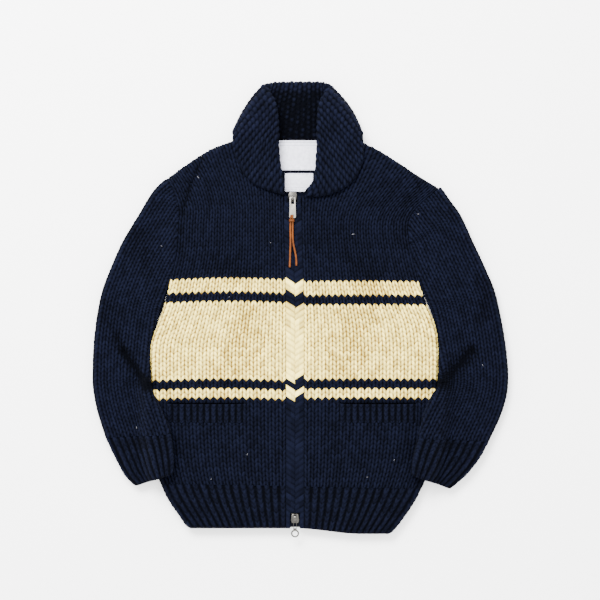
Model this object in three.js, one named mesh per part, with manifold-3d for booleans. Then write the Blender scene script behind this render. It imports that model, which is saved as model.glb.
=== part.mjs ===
// A chunky hand-knit cardigan with a shawl collar, a two-way zip and two inset pockets, lying flat on its back.
// Millimetres. +X to the right as seen from above, +Y towards the collar, +Z up from the surface it lies on.
import * as THREE from 'three';
import Module from 'manifold-3d';
import { mergeVertices } from 'three/addons/utils/BufferGeometryUtils.js';

// ---- Driving dimensions ----
const WALL = 7; // thickness of the knitted cloth
const HOLLOW = 8; // height left between the two layers of a flat tube
const SEAM = 0.4; // gap at a seam
const LAYERS = 2 * WALL + HOLLOW; // height of the whole flat body
const FOLD = LAYERS / 2; // outer radius of a folded edge
const INNER_FOLD = HOLLOW / 2;
const QUARTER = Math.PI / 2;

const LEFT = -1;
const RIGHT = 1;

const UNDERARM = 44; // height where the side seam meets the armhole
const ARMHOLE_BLEND = 14; // the folded side opens out over this height
const HEM_TOP = { left: -303, right: -311 };
const HEM_BOTTOM = { left: -381.5, right: -391.5, stepFrom: -10, stepTo: 110 };
const NECK_FRONT = 199; // where the neckline meets the front bands
const NECK_POINT = { y: 309, left: 88, right: 80 };
const NECK_CURVE = 1.6;
const BACK_NECK_DROP = 9;
const SHOULDER_BLEND = 12;

const ZIP_LOW_X = -9.2;
const ZIP_LEAN = -4.2; // how far the top of the zip leans to the left
const ZIP_LEAN_FROM = -20;
const ZIP_LEAN_OVER = 220;
const BAND = { inner: 0.3, outer: 15, bottom: 16.6, top: 21.6, corner: 2.2, highY: 189, lowY: -381.5, notch: 1 };

// Outline of the body, seen from above: side seam up to the underarm, then the armhole.
const SIDES = [
  { y: -392, left: 190, right: 158.5 },
  { y: -364, left: 209.5, right: 181 },
  { y: -329, left: 233, right: 204 },
  { y: -298, left: 247, right: 218.5 },
  { y: -262, left: 256, right: 230.5 },
  { y: -200, left: 262, right: 239.5 },
  { y: -122, left: 263.5, right: 242.5 },
  { y: -61, left: 262, right: 242 },
  { y: -25, left: 250, right: 236 },
  { y: 10, left: 237.5, right: 221.5 },
  { y: 46, left: 229, right: 208.5 },
  { y: 101, left: 216.5, right: 194.5 },
  { y: 150, left: 213.5, right: 189 },
  { y: 178, left: 212.5, right: 203 },
  { y: 215, left: 225, right: 244.5 },
  { y: 245, left: 245, right: 278 },
];

// Shoulder line, from the neck point outwards.
const SHOULDERS = {
  left: [
    { out: 88, y: 309 },
    { out: 123, y: 296 },
    { out: 157, y: 283 },
    { out: 190, y: 263 },
    { out: 228, y: 236.5 },
    { out: 245, y: 222 },
  ],
  right: [
    { out: 80, y: 309 },
    { out: 115, y: 292.5 },
    { out: 131, y: 285 },
    { out: 164, y: 266 },
    { out: 206, y: 238.5 },
    { out: 262, y: 205 },
  ],
};

// Sleeve stations from above the armhole down to the cuff: both edges of the flat tube, how much of the armhole's
// curve a station keeps, and how much of the body's height its inner edge has climbed.
const SLEEVES = {
  left: [
    { outerX: 219, outerY: 242, innerX: 216, innerY: 62, bow: 1, climb: 0 },
    { outerX: 238, outerY: 228, innerX: 231, innerY: 45, bow: 1, climb: 0 },
    { outerX: 259, outerY: 207, innerX: 231, innerY: 27, bow: 0.7, climb: 0 },
    { outerX: 286, outerY: 163, innerX: 236, innerY: 6, bow: 0.4, climb: 0 },
    { outerX: 312, outerY: 119, innerX: 245, innerY: -20, bow: 0.2, climb: 0 },
    { outerX: 334, outerY: 70, innerX: 255, innerY: -46, bow: 0.1, climb: 0 },
    { outerX: 351, outerY: 20, innerX: 259.5, innerY: -72, bow: 0, climb: 0 },
    { outerX: 361.5, outerY: -50, innerX: 260, innerY: -100, bow: 0, climb: 0.1 },
    { outerX: 364.4, outerY: -112, innerX: 260, innerY: -119, bow: 0, climb: 0.65 },
    { outerX: 363.5, outerY: -136, innerX: 258, innerY: -136, bow: 0, climb: 1 },
    { outerX: 358.5, outerY: -166, innerX: 247, innerY: -160, bow: 0, climb: 1 },
    { outerX: 351, outerY: -194, innerX: 232, innerY: -187, bow: 0, climb: 1 },
    { outerX: 341.5, outerY: -222.5, innerX: 223, innerY: -213.5, bow: 0, climb: 1 },
  ],
  right: [
    { outerX: 228, outerY: 232, innerX: 196, innerY: 60, bow: 1, climb: 0 },
    { outerX: 247, outerY: 214, innerX: 210, innerY: 44, bow: 1, climb: 0 },
    { outerX: 263, outerY: 192, innerX: 211, innerY: 25, bow: 0.7, climb: 0 },
    { outerX: 282, outerY: 165, innerX: 218, innerY: 6, bow: 0.4, climb: 0 },
    { outerX: 304, outerY: 117, innerX: 228.5, innerY: -16, bow: 0.2, climb: 0 },
    { outerX: 325.5, outerY: 71, innerX: 237, innerY: -40, bow: 0.1, climb: 0 },
    { outerX: 342, outerY: 30, innerX: 239, innerY: -64, bow: 0, climb: 0 },
    { outerX: 355, outerY: -30, innerX: 239.5, innerY: -92, bow: 0, climb: 0.1 },
    { outerX: 363.4, outerY: -92, innerX: 239, innerY: -113, bow: 0, climb: 0.65 },
    { outerX: 364.2, outerY: -132, innerX: 238, innerY: -134, bow: 0, climb: 1 },
    { outerX: 358.5, outerY: -163, innerX: 221, innerY: -158, bow: 0, climb: 1 },
    { outerX: 348, outerY: -193, innerX: 210, innerY: -189, bow: 0, climb: 1 },
    { outerX: 331, outerY: -229, innerX: 204.5, innerY: -221, bow: 0, climb: 1 },
  ],
};
const CUFFS = {
  left: [
    { outerX: 341.2, outerY: -223.2, innerX: 222.7, innerY: -214.2, bow: 0, climb: 1 },
    { outerX: 325, outerY: -258, innerX: 219, innerY: -240, bow: 0, climb: 1 },
    { outerX: 307, outerY: -290, innerX: 218.5, innerY: -264, bow: 0, climb: 1 },
    { outerX: 288, outerY: -308, innerX: 220, innerY: -283.5, bow: 0, climb: 1 },
  ],
  right: [
    { outerX: 330.6, outerY: -229.7, innerX: 204.2, innerY: -221.7, bow: 0, climb: 1 },
    { outerX: 314, outerY: -260, innerX: 196.5, innerY: -245, bow: 0, climb: 1 },
    { outerX: 291, outerY: -288, innerX: 193, innerY: -267, bow: 0, climb: 1 },
    { outerX: 262, outerY: -313, innerX: 192, innerY: -285.5, bow: 0, climb: 1 },
  ],
};
const ARMHOLE_CUT = { low: -165, high: 262, deep: 60, margin: 0.5 };
const CLIMB = { from: -26, to: 4, clearance: 0.9 }; // distance inside the body's edge over which a sleeve climbs

// The deepest folds, as soft troughs along a line.
const TROUGHS = {
  sleeve: [
    { fromX: -322, fromY: -44, toX: -268, toY: -132, width: 9, depth: 5.5 },
    { fromX: 300, fromY: -72, toX: 246, toY: -128, width: 12, depth: 5 },
  ],
  front: [
    { fromX: -206, fromY: 205, toX: -210, toY: 90, width: 8, depth: 1.5 },
    { fromX: 186, fromY: 195, toX: 184, toY: 110, width: 9, depth: 1.5 },
  ],
};

// Collar sections from the zip round to the middle of the back: seam with the neckline, centre of the roll, free edge.
const COLLAR = {
  left: [
    { baseX: -27, baseY: 205.2, rollX: -29.5, rollY: 211, freeX: -29, freeY: 200.5 },
    { baseX: -35, baseY: 211.2, rollX: -34, rollY: 226, freeX: -47, freeY: 206 },
    { baseX: -44, baseY: 222.2, rollX: -38, rollY: 250, freeX: -66, freeY: 212.5 },
    { baseX: -54, baseY: 237.2, rollX: -41, rollY: 277, freeX: -83, freeY: 222 },
    { baseX: -64, baseY: 256.2, rollX: -42, rollY: 306, freeX: -98, freeY: 238 },
    { baseX: -73, baseY: 276.2, rollX: -43, rollY: 334, freeX: -109, freeY: 258 },
    { baseX: -80, baseY: 293.2, rollX: -46, rollY: 357, freeX: -116, freeY: 281 },
    { baseX: -87, baseY: 311, rollX: -51, rollY: 372, freeX: -115, freeY: 305 },
    { baseX: -88, baseY: 315, rollX: -53, rollY: 378, freeX: -112, freeY: 312 },
    { baseX: -84, baseY: 315, rollX: -50, rollY: 384, freeX: -101, freeY: 316 },
    { baseX: -66, baseY: 308, rollX: -40, rollY: 388, freeX: -78, freeY: 318 },
    { baseX: -38, baseY: 304.5, rollX: -22, rollY: 390, freeX: -44, freeY: 318 },
  ],
  right: [
    { baseX: 9, baseY: 205.2, rollX: 14, rollY: 209, freeX: 9, freeY: 199 },
    { baseX: 18, baseY: 213.2, rollX: 26, rollY: 226, freeX: 35, freeY: 198 },
    { baseX: 29, baseY: 223.2, rollX: 29.5, rollY: 250, freeX: 61, freeY: 205 },
    { baseX: 40, baseY: 237.2, rollX: 32, rollY: 277, freeX: 81, freeY: 215.5 },
    { baseX: 51, baseY: 256.2, rollX: 33, rollY: 306, freeX: 97, freeY: 231.5 },
    { baseX: 62, baseY: 276.2, rollX: 34, rollY: 334, freeX: 107, freeY: 252 },
    { baseX: 71, baseY: 294.2, rollX: 38, rollY: 358, freeX: 111, freeY: 276 },
    { baseX: 79, baseY: 311, rollX: 46, rollY: 374, freeX: 109, freeY: 302 },
    { baseX: 80, baseY: 315, rollX: 49, rollY: 381, freeX: 105, freeY: 311 },
    { baseX: 76, baseY: 315, rollX: 48, rollY: 387, freeX: 94, freeY: 316 },
    { baseX: 58, baseY: 308, rollX: 41, rollY: 389.5, freeX: 70, freeY: 318 },
    { baseX: 32, baseY: 304.5, rollX: 28, rollY: 390.5, freeX: 36, freeY: 318 },
  ],
};
// Their heights, and the way the fall faces there (0 up, 90 sideways, 180 down).
const COLLAR_LEVELS = [
  { baseZ: 19, rollZ: 24, freeZ: 26, face: 0 },
  { baseZ: 19, rollZ: 25, freeZ: 26, face: 0 },
  { baseZ: 19, rollZ: 26, freeZ: 26, face: 0 },
  { baseZ: 19, rollZ: 26.5, freeZ: 26, face: 0 },
  { baseZ: 19, rollZ: 26.5, freeZ: 26, face: 0 },
  { baseZ: 19, rollZ: 26.5, freeZ: 26, face: 0 },
  { baseZ: 19, rollZ: 25.5, freeZ: 27, face: 12 },
  { baseZ: 16, rollZ: 21.5, freeZ: 22, face: 50 },
  { baseZ: 12, rollZ: 15.5, freeZ: 12.5, face: 90 },
  { baseZ: 10.5, rollZ: 9.5, freeZ: 5.5, face: 140 },
  { baseZ: 7, rollZ: 7.5, freeZ: 3.5, face: 175 },
  { baseZ: 5, rollZ: 7.5, freeZ: 3.5, face: 180 },
];
const COLLAR_WALL = 6.6;
const ROLL_RADIUS = 4;

// Pockets: the slot in each front, the welt that stands in it and the bag behind.
const POCKETS = {
  left: { lowX: -231, highX: -98 },
  right: { lowX: 71.5, highX: 202.5 },
};
const POCKET = { slotTop: -162.6, slotBottom: -194.4, mouth: 5.2, weltTop: 22.6 };
const BAG = { lowY: -290, wall: 2.5, bottom: 7.4 };

// Zip, sliders and pulls.
const CHAIN = { halfWidth: 4.5, bottom: 12.8, top: 16.2, highY: 189.2, lowY: -355.5 };
const TAPE = { inner: 5, outer: 21, bottom: 13.4, top: 14.6, highY: 200, lowY: -380 };
const SLIDER = { length: 16, wide: 15, narrow: 11, bevel: 2, bottom: 11, top: 18, bridgeWidth: 3.6 };
const PIVOT = { above: 6.2, behind: 2.5, holeRadius: 2, cheek: 2.6, sink: 0.5, holeSides: 16 };
const UPPER_SLIDER_Y = 198;
const LOWER_SLIDER_Y = -364.5;
const TAB = { width: 11.6, length: 36, thickness: 2, bar: 2.2, corner: 1.6, shoulder: 1 };
const TAB_HOLES = { slotWidth: 5.6, slotLength: 9.5, eyeSize: 3.6, eyeY: 31 };
const RING = { radius: 5.9, wire: 1.4, reach: 28.8, linkWidth: 6, play: 0.5, tiltDegrees: 9, wireSides: 8, sides: 24 };

// Leather lace on the upper pull, as it lies: a knot and two free strands.
const LACE_RADIUS = 1.6;
const LACE_SIDES = 8;
const LACE_STEPS = 12;
const KNOT = { x: -15, y: 156.4, z: 24.9, width: 10.5, length: 8, height: 6, around: 12, up: 8 };
const LACE_ROUTES = {
  left: [
    { x: -17.2, y: 151.6, z: 24.6 },
    { x: -17.3, y: 140, z: 24.6 },
    { x: -17, y: 128, z: 24.6 },
    { x: -17.1, y: 115, z: 24.6 },
    { x: -17.6, y: 100, z: 24.6 },
    { x: -18, y: 87, z: 24.6 },
    { x: -18.4, y: 74.5, z: 24.6 },
  ],
  right: [
    { x: -13.2, y: 151.6, z: 24.6 },
    { x: -13.3, y: 140, z: 24.6 },
    { x: -13.2, y: 128, z: 24.6 },
    { x: -12, y: 115, z: 24.6 },
    { x: -9.2, y: 102, z: 24.6 },
    { x: -7.3, y: 91, z: 24.6 },
    { x: -6.8, y: 77.5, z: 24.6 },
  ],
};

const LABELS = {
  large: { lowX: -42, highX: 34, lowY: 245, highY: 297.5, bow: 2.5 },
  small: { lowX: -27, highX: 22.5, lowY: 207.5, highY: 240, bow: 1.2 },
};
const LABEL = { bottom: 7.4, thickness: 0.9, steps: 6 };

const COLOURS = {
  navy: { color: 0x14203c, roughness: 0.95, metalness: 0 },
  cream: { color: 0xeae2c6, roughness: 0.95, metalness: 0 },
  tape: { color: 0x14182a, roughness: 0.9, metalness: 0 },
  metal: { color: 0xc9c9c6, roughness: 0.3, metalness: 1 },
  leather: { color: 0x7a4526, roughness: 0.6, metalness: 0 },
  label: { color: 0xe9e9ee, roughness: 0.8, metalness: 0 },
};

// ---- Small helpers ----
const wasm = await Module();
wasm.setup();

const lerp = (a, b, t) => a + (b - a) * t;
const sideName = (side) => (side === LEFT ? 'left' : 'right');

function smoothstep(from, to, at) {
  const t = THREE.MathUtils.clamp((at - from) / (to - from), 0, 1);
  return t * t * (3 - 2 * t);
}

// A smooth curve through one column of a table, read at a place along another column.
function readTable(rows, along, column, at) {
  const last = rows.length - 1;
  let k = 0;
  while (k < last - 1 && at > rows[k + 1][along]) k += 1;
  const slope = (i) => {
    const before = rows[Math.max(i - 1, 0)];
    const after = rows[Math.min(i + 1, last)];
    return (after[column] - before[column]) / (after[along] - before[along]);
  };
  const span = rows[k + 1][along] - rows[k][along];
  const t = THREE.MathUtils.clamp((at - rows[k][along]) / span, 0, 1);
  const beyond = at - lerp(rows[k][along], rows[k + 1][along], t);
  const bend = t * t * (3 - 2 * t);
  const value = lerp(rows[k][column], rows[k + 1][column], bend)
    + span * (t * (1 - t) * (1 - t) * slope(k) - t * t * (1 - t) * slope(k + 1));
  return value + beyond * slope(t > 0.5 ? k + 1 : k);
}

function troughDepth(rows, x, y) {
  let depth = 0;
  for (const row of rows) {
    const runX = row.toX - row.fromX;
    const runY = row.toY - row.fromY;
    const along = ((x - row.fromX) * runX + (y - row.fromY) * runY) / (runX * runX + runY * runY);
    const t = THREE.MathUtils.clamp(along, 0, 1);
    const away = Math.hypot(x - row.fromX - runX * t, y - row.fromY - runY * t);
    depth += row.depth * Math.exp(-((away / row.width) ** 2));
  }
  return depth;
}

function geometryFrom(points, triangles) {
  const geometry = new THREE.BufferGeometry();
  geometry.setAttribute('position', new THREE.Float32BufferAttribute(points.flatMap((p) => [p.x, p.y, p.z]), 3));
  let volume = 0;
  for (const [a, b, c] of triangles) {
    volume += points[a].dot(points[b].clone().cross(points[c]));
  }
  const facingOut = volume > 0 ? triangles : triangles.map(([a, b, c]) => [a, c, b]);
  geometry.setIndex(facingOut.flat());
  return geometry;
}

// A closed wall between two grids of points. A grid is a list of rows; a round one joins each row's ends.
function wallBetween(outer, inner, isRound) {
  const rows = outer.length;
  const columns = outer[0].length;
  const points = [...outer.flat(), ...inner.flat()];
  const innerStart = rows * columns;
  const at = (layer, j, i) => layer * innerStart + j * columns + (i % columns);
  const triangles = [];
  const quad = (a, b, c, d) => {
    triangles.push([a, b, c]);
    triangles.push([a, c, d]);
  };
  const spans = isRound ? columns : columns - 1;
  for (let j = 0; j < rows - 1; j += 1) {
    for (let i = 0; i < spans; i += 1) {
      quad(at(0, j, i), at(0, j, i + 1), at(0, j + 1, i + 1), at(0, j + 1, i));
      quad(at(1, j, i), at(1, j + 1, i), at(1, j + 1, i + 1), at(1, j, i + 1));
    }
  }
  for (let i = 0; i < spans; i += 1) {
    quad(at(0, 0, i), at(1, 0, i), at(1, 0, i + 1), at(0, 0, i + 1));
    quad(at(0, rows - 1, i), at(0, rows - 1, i + 1), at(1, rows - 1, i + 1), at(1, rows - 1, i));
  }
  if (!isRound) {
    const end = columns - 1;
    for (let j = 0; j < rows - 1; j += 1) {
      quad(at(0, j, 0), at(0, j + 1, 0), at(1, j + 1, 0), at(1, j, 0));
      quad(at(0, j, end), at(1, j, end), at(1, j + 1, end), at(0, j + 1, end));
    }
  }
  return geometryFrom(points, triangles);
}

function toSolid(geometry) {
  const bare = geometry.clone();
  bare.deleteAttribute('normal');
  bare.deleteAttribute('uv');
  const merged = mergeVertices(bare, 1e-4);
  return new wasm.Manifold(new wasm.Mesh({
    numProp: 3,
    vertProperties: new Float32Array(merged.attributes.position.array),
    triVerts: new Uint32Array(merged.index.array),
  }));
}

function fromSolid(solid) {
  const mesh = solid.getMesh();
  const geometry = new THREE.BufferGeometry();
  geometry.setAttribute('position', new THREE.Float32BufferAttribute(mesh.vertProperties, 3));
  geometry.setIndex([...mesh.triVerts]);
  return geometry;
}

const cut = (geometry, ...tools) => {
  const start = toSolid(geometry);
  return fromSolid(tools.reduce((solid, tool) => solid.subtract(toSolid(tool)), start));
};
const join = (geometry, ...more) => {
  const start = toSolid(geometry);
  return fromSolid(more.reduce((solid, piece) => solid.add(toSolid(piece)), start));
};

function box(lowX, highX, lowY, highY, lowZ, highZ) {
  const geometry = new THREE.BoxGeometry(highX - lowX, highY - lowY, highZ - lowZ);
  return geometry.translate((lowX + highX) / 2, (lowY + highY) / 2, (lowZ + highZ) / 2);
}

const root = new THREE.Group();
function piece(name, geometry, colours) {
  const mesh = new THREE.Mesh(geometry, new THREE.MeshStandardMaterial(colours));
  mesh.name = name;
  root.add(mesh);
}

// ---- The body: one flat tube of a back and two fronts, open down the middle ----
const zipX = (y) => ZIP_LOW_X + ZIP_LEAN * smoothstep(ZIP_LEAN_FROM, ZIP_LEAN_FROM + ZIP_LEAN_OVER, y);
const sideX = (side, y) => side * readTable(SIDES, 'y', sideName(side), y);
const bandEdgeX = (side, y) => zipX(y) + side * (BAND.outer + BAND.inner + SEAM);
const hemTopY = (x) => lerp(HEM_TOP.left, HEM_TOP.right, smoothstep(sideX(LEFT, 0), sideX(RIGHT, 0), x));
const hemBottomY = (x) => lerp(HEM_BOTTOM.left, HEM_BOTTOM.right, smoothstep(HEM_BOTTOM.stepFrom, HEM_BOTTOM.stepTo, x));
const shoulderY = (side, x) => readTable(SHOULDERS[sideName(side)], 'out', 'y', Math.abs(x));
const onShoulder = (side, x) => smoothstep(0, SHOULDER_BLEND, Math.abs(x) - NECK_POINT[sideName(side)]);
const sideFolded = (y) => 1 - smoothstep(UNDERARM - ARMHOLE_BLEND, UNDERARM, y);

function frontTopY(side, x) {
  const neckX = side * NECK_POINT[sideName(side)];
  if (side * x >= side * neckX) return shoulderY(side, x);
  const start = bandEdgeX(side, NECK_FRONT);
  const t = THREE.MathUtils.clamp((x - start) / (neckX - start), 0, 1);
  return NECK_FRONT + (NECK_POINT.y - NECK_FRONT) * t ** NECK_CURVE;
}

function backTopY(x) {
  const side = x < 0 ? LEFT : RIGHT;
  if (Math.abs(x) >= NECK_POINT[sideName(side)]) return shoulderY(side, x);
  const across = (x + NECK_POINT.left) / (NECK_POINT.left + NECK_POINT.right);
  return NECK_POINT.y - BACK_NECK_DROP * 4 * across * (1 - across);
}

// The height at which a column of stitches reaches an edge whose height depends on x, found by halving.
const SEARCH = { low: -420, middle: 0, high: 420, halvings: 40 };
function meetEdge(columnX, edgeY, low, high) {
  let below = low;
  let above = high;
  for (let step = 0; step < SEARCH.halvings; step += 1) {
    const middle = (below + above) / 2;
    if (middle < edgeY(columnX(middle))) below = middle;
    else above = middle;
  }
  return below;
}

const FOLD_STEPS = [1 / 3, 2 / 3, 1]; // shares of the quarter turn at a folded edge
const FRONT_COLUMNS = [0, 0.05, 0.1, 0.15, 0.2, 0.26, 0.34, 0.5, 0.67, 0.84, 1]; // shares of a front's flat width
const BACK_COLUMNS = 18;
const PANEL_ROWS = [0, 0.12, 0.24, 0.36, 0.47, 0.56, 0.64, 0.7, 0.76, 0.82, 0.88, 0.94, 1]; // shares of a panel's height
const HEM_ROWS = [0, 0.33, 0.67, 1];

// Columns of a front, from the band to the side: a share of the flat width, or a share of the turn at the side.
function frontColumns(side) {
  const columns = FRONT_COLUMNS.map((share) => {
    const edgeX = (y) => lerp(bandEdgeX(side, y), sideX(side, y) - side * FOLD, share);
    return { edgeX, side, turn: 0 };
  });
  for (const turn of FOLD_STEPS) {
    columns.push({ edgeX: (y) => sideX(side, y) - side * FOLD, side, turn });
  }
  return columns;
}

function backColumns() {
  const columns = [];
  for (const turn of [...FOLD_STEPS].reverse()) {
    columns.push({ edgeX: (y) => sideX(LEFT, y) + FOLD, side: LEFT, turn });
  }
  for (let i = 0; i <= BACK_COLUMNS; i += 1) {
    const share = i / BACK_COLUMNS;
    const side = share < 0.5 ? LEFT : RIGHT;
    const edgeX = (y) => lerp(sideX(LEFT, y) + FOLD, sideX(RIGHT, y) - FOLD, share);
    columns.push({ edgeX, side, turn: 0 });
  }
  for (const turn of FOLD_STEPS) {
    columns.push({ edgeX: (y) => sideX(RIGHT, y) - FOLD, side: RIGHT, turn });
  }
  return columns;
}

function columnX(column, y, radius) {
  const flat = FOLD * column.turn;
  const folded = radius * Math.sin(column.turn * QUARTER);
  return column.edgeX(y) + column.side * lerp(flat, folded, sideFolded(y));
}

// One layer of a body panel: radius FOLD gives the outside of the cloth, INNER_FOLD its inside.
function panelLayer(columns, rows, radius, bottomY, topY, isBack) {
  const outerX = (column) => (y) => columnX(column, y, FOLD);
  const grid = rows.map(() => []);
  for (const column of columns) {
    const low = meetEdge(outerX(column), bottomY, SEARCH.low, SEARCH.middle);
    const high = meetEdge(outerX(column), topY, SEARCH.low, SEARCH.high);
    rows.forEach((row, j) => {
      const endX = columnX(column, high, FOLD);
      const shoulderFold = row.turns ? onShoulder(column.side, endX) : 0;
      const turn = row.turns ? row.share : 0;
      const flatTop = row.turns === undefined ? high : high - FOLD;
      const up = lerp(FOLD * turn, radius * Math.sin(turn * QUARTER), shoulderFold);
      const y = row.turns ? flatTop + up : lerp(low, flatTop, row.share);
      const dropSide = sideFolded(y) * (1 - Math.cos(column.turn * QUARTER));
      const dropTop = shoulderFold * (1 - Math.cos(turn * QUARTER));
      const level = (1 - dropSide) * (1 - dropTop);
      const x = columnX(column, y, radius);
      const half = SEAM / 2;
      let z = FOLD + half + (radius - half) * level;
      if (!isBack) z -= troughDepth(TROUGHS.front, x, y) * level;
      grid[j].push(new THREE.Vector3(x, y, isBack ? LAYERS - z : z));
    });
  }
  return grid;
}

// Rows of a whole panel, whose last rows turn over the shoulder, and rows of a hem, which has no shoulder.
const panelRows = [
  ...PANEL_ROWS.map((share) => ({ share, turns: false })),
  ...FOLD_STEPS.map((share) => ({ share, turns: true })),
];
const hemRows = HEM_ROWS.map((share) => ({ share }));

function panel(columns, rows, bottomY, topY, isBack) {
  const outer = panelLayer(columns, rows, FOLD, bottomY, topY, isBack);
  const inner = panelLayer(columns, rows, INNER_FOLD, bottomY, topY, isBack);
  return wallBetween(outer, inner, false);
}

const aboveHem = (x) => hemTopY(x) + SEAM / 2;
const belowPanel = (x) => hemTopY(x) - SEAM / 2;

function front(side) {
  const body = panel(frontColumns(side), panelRows, aboveHem, (x) => frontTopY(side, x), false);
  const pocket = POCKETS[sideName(side)];
  const slot = box(pocket.lowX, pocket.highX, POCKET.slotBottom, POCKET.slotTop, FOLD, LAYERS + FOLD);
  return cut(body, slot);
}

const backPanel = () => panel(backColumns(), panelRows, aboveHem, backTopY, true);
const hemFront = (side) => panel(frontColumns(side), hemRows, hemBottomY, belowPanel, false);
const hemBack = () => panel(backColumns(), hemRows, hemBottomY, belowPanel, true);

// ---- Pockets ----
function pocketWelt(side) {
  const { lowX, highX } = POCKETS[sideName(side)];
  return box(lowX + SEAM, highX - SEAM, POCKET.slotBottom + SEAM, POCKET.slotTop - POCKET.mouth,
    LAYERS - WALL, POCKET.weltTop);
}

function pocketBag(side) {
  const { lowX, highX } = POCKETS[sideName(side)];
  const { wall } = BAG;
  const top = LAYERS - WALL - SEAM;
  const high = POCKET.slotTop + wall + SEAM;
  const outside = box(lowX - wall, highX + wall, BAG.lowY, high, BAG.bottom, top);
  const room = box(lowX, highX, BAG.lowY + wall, high - wall, BAG.bottom + wall, top + FOLD);
  return cut(outside, room);
}

// ---- Sleeves and cuffs: flat tubes beside the body whose lower ends climb on to it ----
const SECTION_FLATS = 7;

// How far round its section a point sits: distance in from the outer edge and height above the tube's middle.
function sectionPoints(width, radius) {
  const inset = FOLD - radius;
  const half = [{ inward: inset, up: 0 }];
  const diagonal = radius * Math.SQRT1_2;
  half.push({ inward: FOLD - diagonal, up: diagonal });
  for (let k = 0; k <= SECTION_FLATS; k += 1) {
    half.push({ inward: lerp(FOLD, width - FOLD, k / SECTION_FLATS), up: radius });
  }
  half.push({ inward: width - FOLD + diagonal, up: diagonal });
  half.push({ inward: width - inset, up: 0 });
  const under = half.slice(1, -1).reverse().map((p) => ({ inward: p.inward, up: -p.up }));
  return [...half, ...under];
}

// Height that a sleeve gains over the body, from how far inside the body's edge it lies.
function climbHeight(side, x, y, climb) {
  const inside = side * (sideX(side, y) - x);
  return climb * (LAYERS + CLIMB.clearance) * smoothstep(CLIMB.from, CLIMB.to, inside);
}

function sleeveRing(side, station, first, radius) {
  const outer = new THREE.Vector2(side * station.outerX, station.outerY);
  const inner = new THREE.Vector2(side * station.innerX, station.innerY);
  const width = outer.distanceTo(inner);
  return sectionPoints(width, radius).map(({ inward, up }) => {
    const share = inward / width;
    const place = outer.clone().lerp(inner, share);
    const chordX = side * lerp(first.outerX, first.innerX, share);
    const chordY = lerp(first.outerY, first.innerY, share);
    const bow = Math.min(0, side * (sideX(side, chordY) - chordX)) * side * station.bow;
    place.x += bow;
    const top = up > 0 ? troughDepth(TROUGHS.sleeve, place.x, place.y) * (up / radius) : 0;
    const z = FOLD + up + climbHeight(side, place.x, place.y, station.climb) - top;
    return new THREE.Vector3(place.x, place.y, z);
  });
}

function flatTube(side, stations, first) {
  const outer = stations.map((station) => sleeveRing(side, station, first, FOLD));
  const inner = stations.map((station) => sleeveRing(side, station, first, INNER_FOLD));
  return wallBetween(outer, inner, true);
}

// A block in the shape of the body's side and armhole, to which the sleeve is cut.
function armholeBlock(side) {
  const sideColumn = [frontColumns(side).at(-1)];
  const edge = panelLayer(sideColumn, panelRows, FOLD, aboveHem, (x) => frontTopY(side, x), false).flat();
  const beside = edge.filter((point) => point.y > ARMHOLE_CUT.low);
  const shape = new THREE.Shape();
  shape.moveTo(side * ARMHOLE_CUT.deep, beside[0].y);
  for (const point of beside) shape.lineTo(point.x + side * SEAM, point.y);
  shape.lineTo(sideX(side, ARMHOLE_CUT.high) + side * SEAM, ARMHOLE_CUT.high);
  shape.lineTo(side * ARMHOLE_CUT.deep, ARMHOLE_CUT.high);
  shape.closePath();
  const tall = LAYERS + 2 * ARMHOLE_CUT.margin;
  return new THREE.ExtrudeGeometry(shape, { depth: tall, bevelEnabled: false }).translate(0, 0, -ARMHOLE_CUT.margin);
}

function sleeve(side) {
  const stations = SLEEVES[sideName(side)];
  return cut(flatTube(side, stations, stations[0]), armholeBlock(side));
}

const cuff = (side) => flatTube(side, CUFFS[sideName(side)], SLEEVES[sideName(side)][0]);

// ---- Collar: stand, roll and fall, swept round the neck ----
const STAND_STEPS = 3;
const ROLL_STEPS = 4;
const FALL_STEPS = 4;

function collarSection(row, level, side) {
  const base = new THREE.Vector3(row.baseX, row.baseY, level.baseZ);
  const roll = new THREE.Vector3(row.rollX, row.rollY, level.rollZ);
  const free = new THREE.Vector3(row.freeX, row.freeY, level.freeZ);
  const rise = new THREE.Vector3(roll.x - base.x, roll.y - base.y, 0).normalize();
  const sideways = new THREE.Vector3(-rise.y, rise.x, 0).multiplyScalar(-side);
  const face = THREE.MathUtils.degToRad(level.face);
  const facing = sideways.multiplyScalar(Math.sin(face)).add(new THREE.Vector3(0, 0, Math.cos(face)));
  const under = roll.clone().addScaledVector(facing, -ROLL_RADIUS);
  const over = roll.clone().addScaledVector(facing, ROLL_RADIUS);
  const points = [];
  for (let k = 0; k < STAND_STEPS; k += 1) points.push(base.clone().lerp(under, k / STAND_STEPS));
  for (let k = 0; k <= ROLL_STEPS; k += 1) {
    const angle = (Math.PI * k) / ROLL_STEPS;
    const place = roll.clone().addScaledVector(facing, -ROLL_RADIUS * Math.cos(angle));
    points.push(place.addScaledVector(rise, ROLL_RADIUS * Math.sin(angle)));
  }
  for (let k = 1; k <= FALL_STEPS; k += 1) points.push(over.clone().lerp(free, k / FALL_STEPS));
  return points;
}

// Offsets a grid of points along its own normals.
function offsetGrid(grid, distance) {
  const rows = grid.length;
  const columns = grid[0].length;
  return grid.map((row, j) => row.map((point, i) => {
    const alongRow = row[Math.min(i + 1, columns - 1)].clone().sub(row[Math.max(i - 1, 0)]);
    const acrossRows = grid[Math.min(j + 1, rows - 1)][i].clone().sub(grid[Math.max(j - 1, 0)][i]);
    const normal = alongRow.cross(acrossRows).normalize();
    return point.clone().addScaledVector(normal, distance);
  }));
}

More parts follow.
